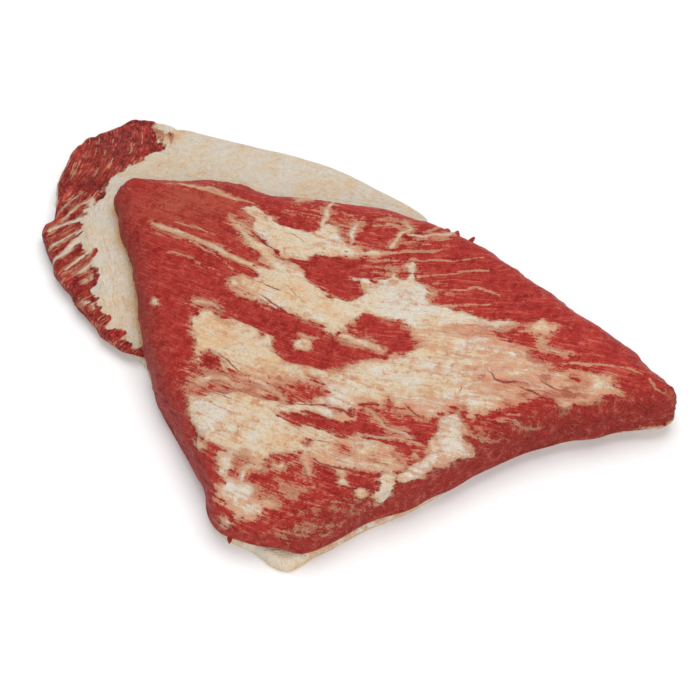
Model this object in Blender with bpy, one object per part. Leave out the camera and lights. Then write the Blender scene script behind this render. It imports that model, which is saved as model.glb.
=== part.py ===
"""Raw boneless beef brisket, lying on its fat cap with the lean side up.

The piece is built as its real layers, from the table upwards: the fat cap, the
point muscle, the seam fat over the point, and the flat muscle on top.
X runs from the point end to the flat's far corner, Y away from the viewer and
Z up. The origin is on the table, under the middle of the whole piece.
Sizes are in millimetres until MM turns them into Blender's metres.
"""

import math

import bmesh
import bpy
import numpy as np
from mathutils import Vector
from mathutils.geometry import delaunay_2d_cdt

MM = 0.001

# Driving sizes
CAP_THICKNESS = 8.0
CAP_THICKNESS_AT_POINT_END = 6.0
CAP_LOBE_RISE = 3.0
SEAM_THICKNESS = 7.0
SEAM_LIP = 1.2
POINT_END_HEIGHT = 23.0
FLAT_TOP_AT_CUT_END = 41.0
FLAT_TOP_RISE = 15.0
NEAR_CORNER_FALL = 14.0
LAYER_GAP = 0.5
ROOM_MARGIN = 0.8
ROOM_SKIRT = 4.0
GROWN_SHOULDER = 21.0
CUT_SHOULDER = 11.0
CUT_END_DIRECTION = (0.45, -0.89)
NEAR_WALL_TURN = -90.0
NEAR_WALL_FADE = 80.0
CENTRE_SHIFT = (1.0, -2.0)
FAT_SHEET_RELIEF = 1.6
FURROW_DEPTH = 0.5
TOP_SPACING = 10.0
LAYER_SPACING = 12.0
EDGE_CLEARANCE = 5.0

# Outlines seen from above, anticlockwise, each a smooth closed curve through its points
FLAT_OUTLINE = (
    # right corner and far edge
    (233, -84), (229, -69), (218, -55), (202, -34), (175, -8), (148, 19), (121, 46),
    (99, 64), (84, 74), (68, 82), (50, 89),
    # edge that lies on the fat band
    (20, 95), (-12, 98), (-42, 99), (-66, 104), (-84, 112), (-104, 116), (-125, 115),
    # rounded lobe at the point end
    (-146, 118), (-162, 120), (-173, 113), (-178, 101), (-172, 76), (-163, 48), (-156, 20),
    (-152, -6),
    # long near wall
    (-146, -36), (-137, -70), (-126, -94), (-110, -127), (-100, -148), (-96, -169),
    (-87, -185),
    # near corner and cut end
    (-72, -194), (-49, -200), (-33, -205), (-16, -198), (10, -181), (38, -168),
    (65, -154), (94, -135), (122, -120), (151, -110), (181, -103), (208, -98), (226, -94),
)
POINT_OUTLINE = (
    # exposed rim at the point end
    (-143, 198), (-153, 210), (-168, 215), (-182, 210), (-196, 201), (-210, 193), (-219, 179),
    (-227, 154), (-228, 127), (-227, 104), (-235, 97), (-229, 72), (-217, 44), (-203, 22),
    (-191, 5), (-181, -10), (-166, -23), (-151, -29),
    # hidden end under the flat
    (-140, -32), (-127, -28), (-98, -7), (-50, 30), (-3, 66), (28, 90),
    # far side, wrapped by the seam fat
    (26, 112), (2, 128), (-44, 150), (-92, 167), (-124, 184),
)
SEAM_OUTLINE = (
    # far side, as seen against the table
    (62, 108), (48, 124), (29, 136), (6, 150), (-20, 163), (-44, 173), (-69, 181),
    (-93, 189), (-114, 196), (-127, 199), (-137, 199),
    # edge that feathers out over the exposed lean
    (-142, 193), (-140, 184), (-142, 174), (-153, 162), (-168, 149), (-180, 136),
    (-190, 120), (-200, 104), (-204, 90), (-198, 72), (-190, 50), (-188, 30), (-183, 14),
    (-175, -4), (-166, -14), (-152, -21),
    # hidden end under the flat
    (-139, -21), (-105, 3), (-57, 39), (-10, 74), (26, 92), (50, 96),
)
CAP_OUTLINE = (
    # right corner and far edge
    (225, -82), (218, -68), (204, -50), (182, -28), (158, 0), (132, 24), (108, 48),
    (86, 70), (70, 90), (52, 113), (28, 130), (5, 144), (-21, 157), (-45, 167), (-70, 175),
    (-94, 183), (-118, 192), (-138, 199), (-154, 206),
    # rim at the point end
    (-169, 211), (-183, 206), (-197, 199), (-211, 192), (-220, 179), (-226, 153), (-228, 127),
    (-228, 104), (-231, 96), (-226, 72), (-214, 46), (-200, 24), (-187, 8), (-177, -7),
    (-163, -19), (-150, -30),
    # long near wall
    (-143, -46), (-135, -72), (-124, -95), (-107, -128), (-97, -149), (-92, -169),
    (-84, -184),
    # lobe that runs past the lean at the near corner, and the cut end
    (-64, -196), (-52, -206), (-43, -211), (-34, -209), (-24, -201), (-10, -193), (11, -179),
    (39, -165), (64, -149), (93, -128), (121, -113), (150, -103), (180, -96), (207, -91),
    (219, -89),
)

# Line under the flat where the point muscle runs out, and the side it lies on
POINT_LINE_START = np.array((-140.0, -50.0))
POINT_LINE_END = np.array((60.0, 105.0))
POINT_TAPER_START = -20.0
POINT_TAPER_LENGTH = 110.0
RIM_FALL_WIDTH = 60.0
CAP_LOBE = (-46.0, -206.0, 30.0)
# Centre and radius of the place where the flat thins out at its near corner
NEAR_CORNER = (-66.0, -202.0, 48.0)

# Thick sheets of fat left on the flat: start, end, half width
FAT_SHEETS = (
    ((-100, 28), (-62, 6), 17),
    ((-118, -50), (-40, -62), 25),
    ((-90, -105), (-75, -130), 16),
    ((-42, -66), (0, -58), 20),
    ((-60, 70), (-10, 12), 13),
    ((-52, 88), (-10, 62), 12),
    ((-10, 12), (60, 24), 15),
    ((60, 24), (150, 10), 12),
    ((8, -40), (90, -22), 24),
    ((70, -20), (150, -52), 22),
    ((20, -110), (60, -88), 12),
    ((150, -52), (190, -66), 14),
)


def smooth_step(value):
    """0 below 0, 1 above 1, and 3v^2 - 2v^3 between."""
    value = np.clip(value, 0.0, 1.0)
    return value * value * (3.0 - 2.0 * value)


def closed_curve(points, spacing):
    """Points at even spacing along the closed Catmull-Rom curve through the given ones."""
    knots = np.array(points, float)
    before, after, beyond = (np.roll(knots, shift, axis=0) for shift in (1, -1, -2))
    t = np.linspace(0.0, 1.0, 24, endpoint=False)[None, :, None]
    k0, k1, k2, k3 = (k[:, None, :] for k in (before, knots, after, beyond))
    fine = 0.5 * (
        2 * k1
        + (k2 - k0) * t
        + (2 * k0 - 5 * k1 + 4 * k2 - k3) * t**2
        + (3 * k1 - 3 * k2 + k3 - k0) * t**3
    ).reshape(-1, 2)
    ring = np.vstack((fine, fine[:1]))
    length = np.concatenate(([0.0], np.cumsum(np.linalg.norm(np.diff(ring, axis=0), axis=1))))
    count = int(round(length[-1] / spacing))
    at = np.linspace(0.0, length[-1], count, endpoint=False)
    return np.column_stack([np.interp(at, length, ring[:, axis]) for axis in (0, 1)])


def outward(loop):
    """Unit normals of an anticlockwise loop, pointing out."""
    along = np.roll(loop, -1, axis=0) - np.roll(loop, 1, axis=0)
    normal = np.column_stack((along[:, 1], -along[:, 0]))
    return normal / np.linalg.norm(normal, axis=1, keepdims=True)


def ragged(loop, depth, seed):
    """Moves a loop in and out by up to depth, as a knife leaves a trimmed edge."""
    draw = np.random.default_rng(seed)
    turn = np.linspace(0.0, 2.0 * math.pi, len(loop), endpoint=False)
    wave = sum(
        math.sin(phase) * np.sin(count * turn + 2.0 * phase)
        for count, phase in zip((17, 23, 31, 41), draw.uniform(0.6, 5.6, 4))
    )
    return loop + outward(loop) * (depth * wave / 2.0)[:, None]


def distance_to(points, path):
    """Distance from each point to an open path."""
    edge = np.diff(path, axis=0)
    reach = points[:, None, :] - path[None, :-1, :]
    share = np.clip((reach * edge).sum(2) / (edge**2).sum(1), 0.0, 1.0)
    return np.linalg.norm(reach - share[:, :, None] * edge, axis=2).min(1)


def depth_inside(points, loop):
    """Distance from each point to the loop: positive inside it, 0 outside."""
    a, b = loop, np.roll(loop, -1, axis=0)
    edge = b - a
    y = points[:, None, 1]
    crosses = (a[:, 1] > y) != (b[:, 1] > y)
    slope = np.where(edge[:, 1] == 0.0, 1.0, edge[:, 1])
    x_hit = a[:, 0] + (y - a[:, 1]) * edge[:, 0] / slope
    inside = (crosses & (points[:, None, 0] < x_hit)).sum(1) % 2 == 1
    return np.where(inside, distance_to(points, np.vstack((loop, loop[:1]))), 0.0)


def inset(loop, depth):
    """Moves a loop inwards by depth, or less where the loop is too narrow or turns too tightly.

    The limit is the radius of the largest circle that fits inside the loop and touches it
    at that point.
    """
    normals = outward(loop)
    reach = loop[:, None, :] - loop[None, :, :]
    square = (reach**2).sum(2)
    lean = (reach * normals[:, None, :]).sum(2)
    radius = np.where(lean > 1e-6, square / (2.0 * np.maximum(lean, 1e-6)), np.inf).min(1)
    limit = np.minimum(1.0, 0.75 * radius / np.maximum(depth, 1e-6))
    limit = np.min([np.roll(limit, shift) for shift in (-2, -1, 0, 1, 2)], axis=0)
    limit = np.mean([np.roll(limit, shift) for shift in (-2, -1, 0, 1, 2)], axis=0)
    return loop - normals * (depth * limit)[:, None]


def past_point_line(points):
    """How far a point lies over the hidden end of the point muscle, across its line."""
    along = POINT_LINE_END - POINT_LINE_START
    along = along / np.linalg.norm(along)
    across = np.array((-along[1], along[0]))
    return (points - POINT_LINE_START) @ across


def bump(points, x, y, radius):
    """1 at the point x, y, falling off as a bell curve of this radius."""
    return np.exp(-((points[:, 0] - x) ** 2 + (points[:, 1] - y) ** 2) / radius**2)


def cap_top(points):
    """Height of the fat cap's upper face: even, thinner at the point end, fuller at its lobe."""
    near = bump(points, *CAP_LOBE)
    thin = (CAP_THICKNESS - CAP_THICKNESS_AT_POINT_END) * smooth_step(
        past_point_line(points) / 80.0
    )
    return CAP_THICKNESS - thin + CAP_LOBE_RISE * near


def wing_height(points):
    """Height of point muscle and seam fat together above the cap.

    It grows from the hidden line towards the point end, and falls again to the rim.
    """
    taper = smooth_step((past_point_line(points) - POINT_TAPER_START) / POINT_TAPER_LENGTH)
    fall = 0.16 + 0.32 * smooth_step((-120.0 - points[:, 0]) / 70.0)
    near_rim = 1.0 - smooth_step(distance_to(points, WING_RIM) / RIM_FALL_WIDTH)
    return POINT_END_HEIGHT * taper * (1.0 - fall * near_rim)


def stack_top(points):
    """Height of the face that the flat lies on."""
    return cap_top(points) + wing_height(points)


def seam_thickness(points):
    """Thickness of the seam fat: a thin lip at its edge, full further in."""
    full = np.minimum(SEAM_THICKNESS, 0.3 * wing_height(points) + SEAM_LIP)
    return SEAM_LIP + (full - SEAM_LIP) * smooth_step(depth_inside(points, SEAM_LOOP) / 25.0)


def point_top(points):
    """Height of the point muscle: the wing's face less the seam fat on it."""
    return stack_top(points) - seam_thickness(points) - LAYER_GAP


def capsule_field(points, start, end, half_width):
    """1 on the line from start to end, falling smoothly to 0 at half_width from it."""
    a, b = np.array(start, float), np.array(end, float)
    share = np.clip((points - a) @ (b - a) / ((b - a) @ (b - a)), 0.0, 1.0)
    gap = np.linalg.norm(points - (a + share[:, None] * (b - a)), axis=1)
    return smooth_step(1.6 * (1.0 - gap / half_width))


def flat_top(points):
    """Height of the flat's lean face: a low dome towards the point end, with raised fat sheets
    and shallow furrows that follow the muscle fibres."""
    x, y = points[:, 0], points[:, 1]
    dome = np.exp(-(((x + 110.0) / 150.0) ** 2) - ((y - 80.0) / 140.0) ** 2)
    sheets = np.max([capsule_field(points, *sheet) for sheet in FAT_SHEETS], axis=0)
    across = y + 0.42 * x - 0.00045 * (x + 180.0) ** 2
    furrow = np.sin(across / 5.3 + 1.3 * np.sin(x / 47.0)) * np.sin(x / 61.0 + 1.0)
    height = FLAT_TOP_AT_CUT_END + FLAT_TOP_RISE * dome
    height = height - NEAR_CORNER_FALL * bump(points, *NEAR_CORNER)
    return height + FAT_SHEET_RELIEF * sheets + FURROW_DEPTH * furrow


def lattice(spacing, sparse):
    """Staggered grid points over the whole plan.

    The grid has one origin for every layer, so that two faces that lie on each other share
    their points. Where sparse is set, only every second point in both directions is kept,
    on the side without the point muscle.
    """
    row, column = np.meshgrid(np.arange(-40, 41), np.arange(-40, 41), indexing="ij")
    x = (column + 0.5 * row) * spacing
    y = row * spacing * math.sqrt(3.0) / 2.0
    found = np.column_stack((x.ravel(), y.ravel()))
    if sparse:
        even = ((row % 2 == 0) & (column % 2 == 0)).ravel()
        found = found[even | (past_point_line(found) > POINT_TAPER_START - spacing)]
    return found


def inside_of(loop, points):
    """The points that lie inside the loop, clear of its edge."""
    return points[depth_inside(points, loop) > EDGE_CLEARANCE]


def add_skin(bm, ring, loop, height, inner, upwards, drop=0.0):
    """Fills a ring of vertices with a triangulated face whose inner points follow height."""
    plan = np.vstack((loop, inner))
    count = len(loop)
    edges = [(i, (i + 1) % count) for i in range(count)]
    made = delaunay_2d_cdt(
        [Vector(p) for p in plan.tolist()], edges, [list(range(count))], 1, 1e-6
    )
    verts = list(ring) + add_points(bm, inner, height(inner) - drop)
    for face in made[2]:
        corners = [verts[made[3][i][0]] for i in face]
        bm.faces.new(corners if upwards else corners[::-1])


def add_points(bm, plan, z):
    """New vertices, moved so that the origin lies under the middle of the whole piece."""
    right, back = CENTRE_SHIFT
    return [
        bm.verts.new(((x + right) * MM, (y + back) * MM, h * MM)) for (x, y), h in zip(plan, z)
    ]


def bridge(bm, lower, upper):
    """Closes the wall between two rings of equal count."""
    count = len(lower)
    for i in range(count):
        j = (i + 1) % count
        bm.faces.new((lower[i], lower[j], upper[j], upper[i]))


def layer(name, loop, low, high, foot, shoulder, squareness, turns, grids, material, skirt=0.0):
    """One closed layer of the brisket.

    loop is its outline, and low and high give the heights of its two faces. Its wall turns
    out from the underside by a quarter circle of radius foot, and turns in to the upper
    face by a superellipse of width shoulder, in as many steps as turns. grids are the
    inner points of its two faces. A skirt, for a cutter, takes the wall straight down.
    """
    bm = bmesh.new()
    rings = []
    plans = []
    waist = low(loop) + np.minimum(foot, 0.4 * (high(loop) - low(loop)))
    for angle in np.radians((0.0, 45.0)):
        plan = loop if skirt else inset(loop, foot * (1.0 - math.sin(angle)))
        plans.append(plan)
        rise = (waist - low(loop)) * (1.0 - math.cos(angle))
        rings.append(add_points(bm, plan, low(plan) + rise - skirt * math.cos(angle)))
    for angle in np.linspace(0.0, math.pi / 2.0, turns):
        plan = inset(loop, shoulder * (1.0 - abs(math.cos(angle)) ** (2.0 / squareness)))
        plans.append(plan)
        rise = math.sin(angle) ** (2.0 / squareness)
        rings.append(add_points(bm, plan, waist + (high(plan) - waist) * rise))
    for lower, upper in zip(rings, rings[1:]):
        bridge(bm, lower, upper)
    add_skin(bm, rings[0], plans[0], low, inside_of(plans[0], grids[0]), False, skirt)
    add_skin(bm, rings[-1], plans[-1], high, inside_of(plans[-1], grids[1]), True)
    bmesh.ops.triangulate(bm, faces=bm.faces[:])
    mesh = bpy.data.meshes.new(name)
    bm.to_mesh(mesh)
    bm.free()
    mesh.shade_smooth()
    mesh.materials.append(material)
    made = bpy.data.objects.new(name, mesh)
    bpy.context.scene.collection.objects.link(made)
    return made


def finish(name, colour, roughness):
    """A Principled material in one colour."""
    material = bpy.data.materials.new(name)
    material.use_nodes = True
    shader = material.node_tree.nodes["Principled BSDF"]
    shader.inputs["Base Color"].default_value = (*colour, 1.0)
    shader.inputs["Roughness"].default_value = roughness
    shader.inputs["Metallic"].default_value = 0.0
    material.diffuse_color = (*colour, 1.0)
    return material


FLAT_LOOP = ragged(closed_curve(FLAT_OUTLINE, 9.0), 0.9, 3)
POINT_LOOP = ragged(closed_curve(POINT_OUTLINE, 8.0), 1.0, 5)
SEAM_LOOP = closed_curve(SEAM_OUTLINE, 8.0)
CAP_LOOP = closed_curve(CAP_OUTLINE, 10.0)
WING_RIM = np.array(SEAM_OUTLINE[:11] + POINT_OUTLINE[1:18], float)
LAYER_GRID = lattice(LAYER_SPACING, True)
TOP_GRID = lattice(TOP_SPACING, False)
TABLE_GRID = lattice(3.0 * LAYER_SPACING, False)


def on_table(points):
    return np.zeros(len(points))


def above_cap(points):
    return cap_top(points) + LAYER_GAP


def above_stack(points):
    return stack_top(points) + LAYER_GAP


def build_fat_cap():
    fat = finish("cap_fat", (0.72, 0.60, 0.47), 0.5)
    grids = (TABLE_GRID, LAYER_GRID)
    return layer("fat_cap", CAP_LOOP, on_table, cap_top, 2.0, 5.0, 2.2, 4, grids, fat)


def build_point_muscle():
    lean = finish("point_lean", (0.27, 0.035, 0.03), 0.45)
    grids = (LAYER_GRID, LAYER_GRID)
    return layer("point_muscle", POINT_LOOP, above_cap, point_top, 1.5, 6.0, 2.4, 4, grids, lean)


def build_seam_fat():
    """The seam fat is a blanket from the cap up, with the room of the point muscle cut out."""
    fat = finish("seam_fat", (0.74, 0.63, 0.50), 0.5)
    grids = (LAYER_GRID, LAYER_GRID)
    blanket = layer("seam_fat", SEAM_LOOP, above_cap, stack_top, 1.5, 14.0, 2.0, 5, grids, fat)

    def over_point(points):
        return point_top(points) + LAYER_GAP

    room = POINT_LOOP + outward(POINT_LOOP) * ROOM_MARGIN
    cutter = layer(
        "point_room", room, above_cap, over_point, 1.5, 6.0, 2.4, 4, grids, fat, ROOM_SKIRT
    )
    cutter.hide_render = True
    cutter.display_type = "WIRE"
    cut = blanket.modifiers.new("room for the point", "BOOLEAN")
    cut.operation = "DIFFERENCE"
    cut.solver = "EXACT"
    cut.object = cutter
    return blanket


def build_flat_muscle():
    """The flat is rounded along its grown edges and squarer along its cut end."""
    lean = finish("flat_lean", (0.40, 0.052, 0.04), 0.45)
    grids = (LAYER_GRID, TOP_GRID)
    faces_cut = smooth_step(2.0 * outward(FLAT_LOOP) @ np.array(CUT_END_DIRECTION))
    near_corner = smooth_step((NEAR_WALL_TURN - FLAT_LOOP[:, 1]) / NEAR_WALL_FADE)
    shoulder = GROWN_SHOULDER + (CUT_SHOULDER - GROWN_SHOULDER) * np.maximum(
        faces_cut, near_corner
    )
    return layer(
        "flat_muscle", FLAT_LOOP, above_stack, flat_top, 3.0, shoulder, 2.3, 7, grids, lean
    )


def main():
    for old in list(bpy.data.objects):
        bpy.data.objects.remove(old)
    build_fat_cap()
    build_point_muscle()
    build_seam_fat()
    build_flat_muscle()


main()
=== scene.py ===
"""Raw boneless beef brisket, lean side up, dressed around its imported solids.

The file is laid out as a Blender add-on. Drawing sizes are millimetres in the plan that the
solids were drawn in, and in_metres() moves them into the frame. Each layer is one closed
shell worked out with numpy: rings up its wall and a four-sided blended grid on its top.
"""
import math

import bpy
import numpy as np
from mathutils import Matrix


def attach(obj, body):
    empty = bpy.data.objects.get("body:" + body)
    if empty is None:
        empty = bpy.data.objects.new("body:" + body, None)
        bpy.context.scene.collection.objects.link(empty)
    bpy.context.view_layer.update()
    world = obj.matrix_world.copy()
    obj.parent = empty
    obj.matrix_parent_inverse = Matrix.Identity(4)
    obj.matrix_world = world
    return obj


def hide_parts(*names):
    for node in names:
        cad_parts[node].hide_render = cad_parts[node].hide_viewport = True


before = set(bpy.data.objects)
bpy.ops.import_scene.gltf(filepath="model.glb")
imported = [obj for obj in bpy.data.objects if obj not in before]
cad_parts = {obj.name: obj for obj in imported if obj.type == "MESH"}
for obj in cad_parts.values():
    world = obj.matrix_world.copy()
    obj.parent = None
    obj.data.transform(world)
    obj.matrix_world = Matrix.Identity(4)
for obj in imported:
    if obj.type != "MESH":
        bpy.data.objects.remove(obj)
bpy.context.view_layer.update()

bl_info = {
    "name": "Beef Brisket",
    "version": (1, 0, 0),
    "blender": (4, 5, 0),
    "location": "View3D > Sidebar > Brisket",
    "description": "Builds a raw boneless brisket from its fat cap, point, seam fat and flat",
    "category": "Add Mesh",
}

# The solids' own sizes, as they were drawn
CAP_THICKNESS = 8.0
CAP_THICKNESS_AT_POINT_END = 6.0
CAP_LOBE_RISE = 3.0
SEAM_THICKNESS = 7.0
SEAM_LIP = 0.5
POINT_END_HEIGHT = 23.0
FLAT_TOP_AT_CUT_END = 41.0
FLAT_TOP_RISE = 15.0
NEAR_CORNER_FALL = 14.0
LAYER_GAP = 0.5
GROWN_SHOULDER = 21.0
CUT_SHOULDER = 11.0
CUT_END_DIRECTION = (0.45, -0.89)
NEAR_WALL_TURN = -90.0
NEAR_WALL_FADE = 80.0
CENTRE_SHIFT = (1.0, -2.0)
POINT_LINE_START = np.array((-140.0, -50.0))
POINT_LINE_END = np.array((60.0, 105.0))
POINT_TAPER_START = -20.0
POINT_TAPER_LENGTH = 110.0
RIM_FALL_WIDTH = 60.0
CAP_THINNING_LENGTH = 80.0
RIM_FALL = 0.16
RIM_FALL_GROWTH = 0.32
RIM_FALL_GROWS_FROM = -120.0
RIM_FALL_GROWTH_LENGTH = 70.0
SEAM_SHARE = 0.3
SEAM_FEATHER_WIDTH = 25.0
SEAM_RIM_DIP = 0.9
SEAM_RIM_WIDTH = 4.0
UNDER_SEAM_BLEND = 6.0
# Shoulders of the dressed seam fat at its lip and on its far side, and how much narrower than
# the solid's the dressed flat's shoulder is at its cut end
SEAM_SHOULDER = 0.8
SEAM_FAR_SHOULDER = 14.0
CUT_END_SHARPER = 3.0
# Bell-shaped places in plan: x, y, radius along x and along y
CAP_LOBE = (-46.0, -206.0, 30.0, 30.0)
NEAR_CORNER = (-66.0, -202.0, 48.0, 48.0)
FLAT_DOME = (-110.0, 80.0, 150.0, 140.0)

# Outlines seen from above, anticlockwise, each a smooth closed curve through its points
FLAT_OUTLINE = (
    # right corner and far edge
    (233, -84), (229, -69), (218, -55), (202, -34), (175, -8), (148, 19), (121, 46),
    (99, 64), (84, 74), (68, 82), (50, 89),
    # edge that lies on the fat band
    (20, 97), (-12, 100), (-42, 101), (-66, 106), (-84, 114), (-104, 118), (-125, 117),
    # rounded lobe at the point end
    (-146, 118), (-162, 120), (-173, 113), (-178, 101), (-172, 76), (-163, 48), (-156, 20),
    (-152, -6),
    # long near wall
    (-146, -36), (-137, -70), (-126, -94), (-110, -127), (-100, -148), (-96, -169),
    (-87, -185),
    # near corner and cut end
    (-72, -194), (-49, -200), (-33, -205), (-16, -198), (10, -181), (38, -168),
    (65, -154), (94, -135), (122, -120), (151, -110), (181, -103), (208, -98), (226, -94),
)
POINT_OUTLINE = (
    # exposed rim at the point end
    (-133, 196), (-150, 208), (-168, 215), (-182, 210), (-196, 201), (-210, 193), (-219, 179),
    (-227, 154), (-228, 127), (-227, 104), (-235, 97), (-229, 72), (-217, 44), (-203, 22),
    (-191, 5), (-181, -10), (-166, -23), (-151, -29),
    # hidden end under the flat
    (-140, -32), (-127, -28), (-98, -7), (-50, 30), (-3, 66), (28, 90),
    # far side, wrapped by the seam fat
    (26, 112), (2, 128), (-44, 150), (-92, 167), (-124, 184),
)
SEAM_OUTLINE = (
    # far side, as seen against the table
    (62, 108), (48, 124), (29, 136), (6, 150), (-20, 163), (-44, 173), (-69, 181),
    (-93, 189), (-114, 196), (-127, 199), (-137, 199),
    # edge that feathers out over the exposed lean
    (-142, 193), (-140, 184), (-142, 174), (-153, 162), (-168, 149), (-180, 136),
    (-190, 120), (-200, 104), (-204, 90), (-198, 72), (-190, 50), (-188, 30), (-183, 14),
    (-175, -4), (-166, -14), (-152, -21),
    # hidden end under the flat
    (-139, -21), (-105, 3), (-57, 39), (-10, 74), (26, 92), (50, 96),
)
CAP_OUTLINE = (
    # right corner and far edge
    (225, -82), (218, -68), (204, -50), (182, -28), (158, 0), (132, 24), (108, 48),
    (86, 70), (70, 90), (52, 113), (28, 130), (5, 144), (-21, 157), (-45, 167), (-70, 175),
    (-94, 183), (-118, 192), (-138, 199), (-154, 206),
    # rim at the point end
    (-169, 211), (-183, 206), (-197, 199), (-211, 192), (-220, 179), (-226, 153), (-228, 127),
    (-228, 104), (-231, 96), (-226, 72), (-214, 46), (-200, 24), (-187, 8), (-177, -7),
    (-163, -19), (-150, -30),
    # long near wall
    (-143, -46), (-135, -72), (-124, -95), (-107, -128), (-97, -149), (-92, -169),
    (-84, -184),
    # lobe that runs past the lean at the near corner, and the cut end
    (-64, -196), (-52, -206), (-43, -211), (-34, -209), (-24, -201), (-10, -193), (11, -179),
    (39, -165), (64, -149), (93, -128), (121, -113), (150, -103), (180, -96), (207, -91),
    (219, -89),
)

# Fat left on the flat: tone from -1 white to 1 orange, cover from 0 film to 1 thick, how far
# its border thins out from 0 to 1, outline
FAT_SHEETS = {
    "upper": (-0.35, 1.05, 0.15, (
        (-77, 76), (-66, 77), (-59, 69), (-50, 65), (-44, 60), (-36, 57), (-28, 55),
        (-21, 61), (-14, 67), (-9, 62), (-6, 55), (0, 49), (5, 44), (12, 41), (24, 39),
        (20, 33), (6, 35), (-4, 36), (-16, 33), (-28, 31), (-38, 30), (-46, 30), (-52, 36),
        (-58, 43), (-66, 50), (-70, 58), (-71, 67))),
    "fringe": (0.3, 0.8, 0.35, (
        (-85, 61), (-78, 58), (-72, 52), (-65, 44), (-58, 38), (-52, 31), (-46, 26),
        (-38, 24), (-36, 16), (-50, 14), (-56, 19), (-63, 27), (-70, 35), (-76, 43),
        (-80, 51))),
    "diagonal": (0.25, 1.0, 0.2, (
        (-85, 5), (-83, 10), (-76, 11), (-69, 8), (-65, 12), (-70, 18), (-64, 20), (-56, 18),
        (-48, 20), (-40, 24), (-35, 19), (-30, 12), (-26, 6), (-20, 0), (-14, -4), (-7, -8),
        (2, -8), (9, -6), (14, -14), (8, -22), (4, -30), (-5, -38), (-14, -38), (-18, -33),
        (-24, -29), (-32, -25), (-42, -21), (-52, -17), (-62, -12), (-72, -7), (-80, -3))),
    "centre": (-0.6, 1.12, 0.35, (
        (8, -6), (12, 1), (9, 9), (3, 14), (14, 13), (22, 11), (29, 14), (33, 23), (36, 24),
        (36, 15), (42, 13), (45, 20), (43, 27), (48, 29), (50, 21), (49, 13), (53, 8),
        (61, 4), (62, -7), (70, -12), (80, -15), (90, -18), (100, -22), (113, -22),
        (122, -25), (112, -29), (98, -29), (84, -29), (72, -31), (60, -33), (50, -33),
        (46, -31), (38, -27), (25, -24), (14, -21), (6, -22), (-2, -16), (2, -10))),
    "left": (0.75, 0.92, 0.2, (
        (-112, -26), (-107, -23), (-102, -20), (-97, -21), (-92, -26), (-88, -28),
        (-82, -28), (-77, -32), (-70, -34), (-65, -39), (-60, -44), (-56, -40), (-53, -44),
        (-54, -52), (-50, -60), (-44, -66), (-34, -69), (-24, -71), (-12, -71), (-4, -68),
        (-6, -76), (-18, -80), (-30, -82), (-42, -81), (-52, -79), (-62, -78), (-72, -75),
        (-81, -69), (-87, -63), (-93, -58), (-100, -56), (-105, -61), (-109, -57),
        (-108, -48), (-111, -38))),
    "right": (0.05, 0.85, 0.75, (
        (-18, -76), (-8, -70), (2, -64), (12, -62), (22, -59), (32, -56), (44, -53),
        (48, -50), (48, -42), (48, -34), (62, -32), (76, -30), (88, -33), (98, -37),
        (108, -42), (118, -45), (126, -50), (133, -57), (140, -63), (147, -69), (158, -71),
        (170, -70), (180, -71), (187, -73), (186, -80), (191, -90), (183, -89), (174, -95),
        (165, -99), (156, -98), (154, -104), (149, -109), (146, -102), (141, -95),
        (131, -92), (121, -96), (110, -101), (99, -105), (91, -109), (83, -110),
        (77, -103), (69, -104), (62, -110), (54, -112), (47, -107), (41, -102), (34, -104),
        (29, -97), (24, -104), (16, -100), (9, -101), (4, -108), (-2, -111), (-9, -105),
        (-17, -101), (-22, -97), (-15, -90), (-19, -83))),
    "lower": (0.05, 0.92, 0.3, (
        (-113, -92), (-104, -93), (-94, -91), (-84, -93), (-74, -92), (-64, -95),
        (-54, -99), (-44, -101), (-34, -100), (-24, -102), (-14, -103), (-4, -107),
        (6, -112), (-2, -113), (-12, -110), (-24, -108), (-36, -108), (-47, -106),
        (-42, -113), (-33, -119), (-24, -120), (-14, -122), (-6, -126), (4, -128),
        (12, -129), (24, -134), (33, -141), (38, -150), (36, -157), (26, -158),
        (14, -156), (4, -155), (-6, -153), (-16, -151), (-24, -146), (-29, -142),
        (-38, -141), (-46, -142), (-54, -147), (-62, -146), (-70, -141), (-79, -139),
        (-88, -136), (-97, -133), (-101, -137), (-104, -130), (-103, -122), (-108, -114),
        (-110, -104))),
    "cut edge": (-0.5, 0.85, 0.35, (
        (31, -164), (36, -158), (42, -153), (50, -147), (54, -141), (56, -133), (59, -127),
        (62, -121), (64, -114), (68, -107), (77, -107), (80, -116), (80, -126), (79, -133),
        (83, -139), (88, -143), (82, -147), (74, -149), (64, -153), (56, -157), (46, -162),
        (37, -167))),
    "drip": (0.2, 1.0, 0.1, (
        (23, -158), (34, -160), (33, -167), (29, -172), (27, -179), (23, -184), (19, -184),
        (19, -178), (22, -171), (21, -163))),
    "star": (0.1, 0.8, 0.5, (
        (130, -29), (135, -23), (141, -21), (145, -26), (151, -29), (146, -33), (140, -36),
        (134, -35))),
    "block": (-0.3, 1.0, 0.1, (
        (-88, -140), (-83, -138), (-79, -141), (-79, -152), (-83, -156), (-87, -151))),
    "corner": (-0.2, 0.9, 0.5, (
        (-88, -170), (-86, -163), (-80, -160), (-74, -162), (-67, -162), (-62, -168),
        (-64, -173), (-54, -176), (-48, -179), (-58, -182), (-64, -187), (-74, -187),
        (-80, -181), (-86, -177))),
    "corner bit": (0.1, 1.0, 0.3, (
        (-87, -192), (-84, -188), (-79, -189), (-77, -194), (-82, -196))),
    "oblong": (0.0, 1.0, 0.1, ((-7, -156), (-3, -156), (0, -162), (-1, -166), (-5, -163))),
    "crumb": (0.2, 1.0, 0.3, ((6, -172), (11, -173), (12, -179), (7, -180))),
    "fleck": (-0.2, 1.0, 0.1, ((-141, -14), (-139, -10), (-136, -13), (-138, -16))),
    "bay blob": (0.2, 0.85, 0.4, ((-37, -47), (-32, -43), (-27, -47), (-29, -53), (-35, -53))),
}
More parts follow.
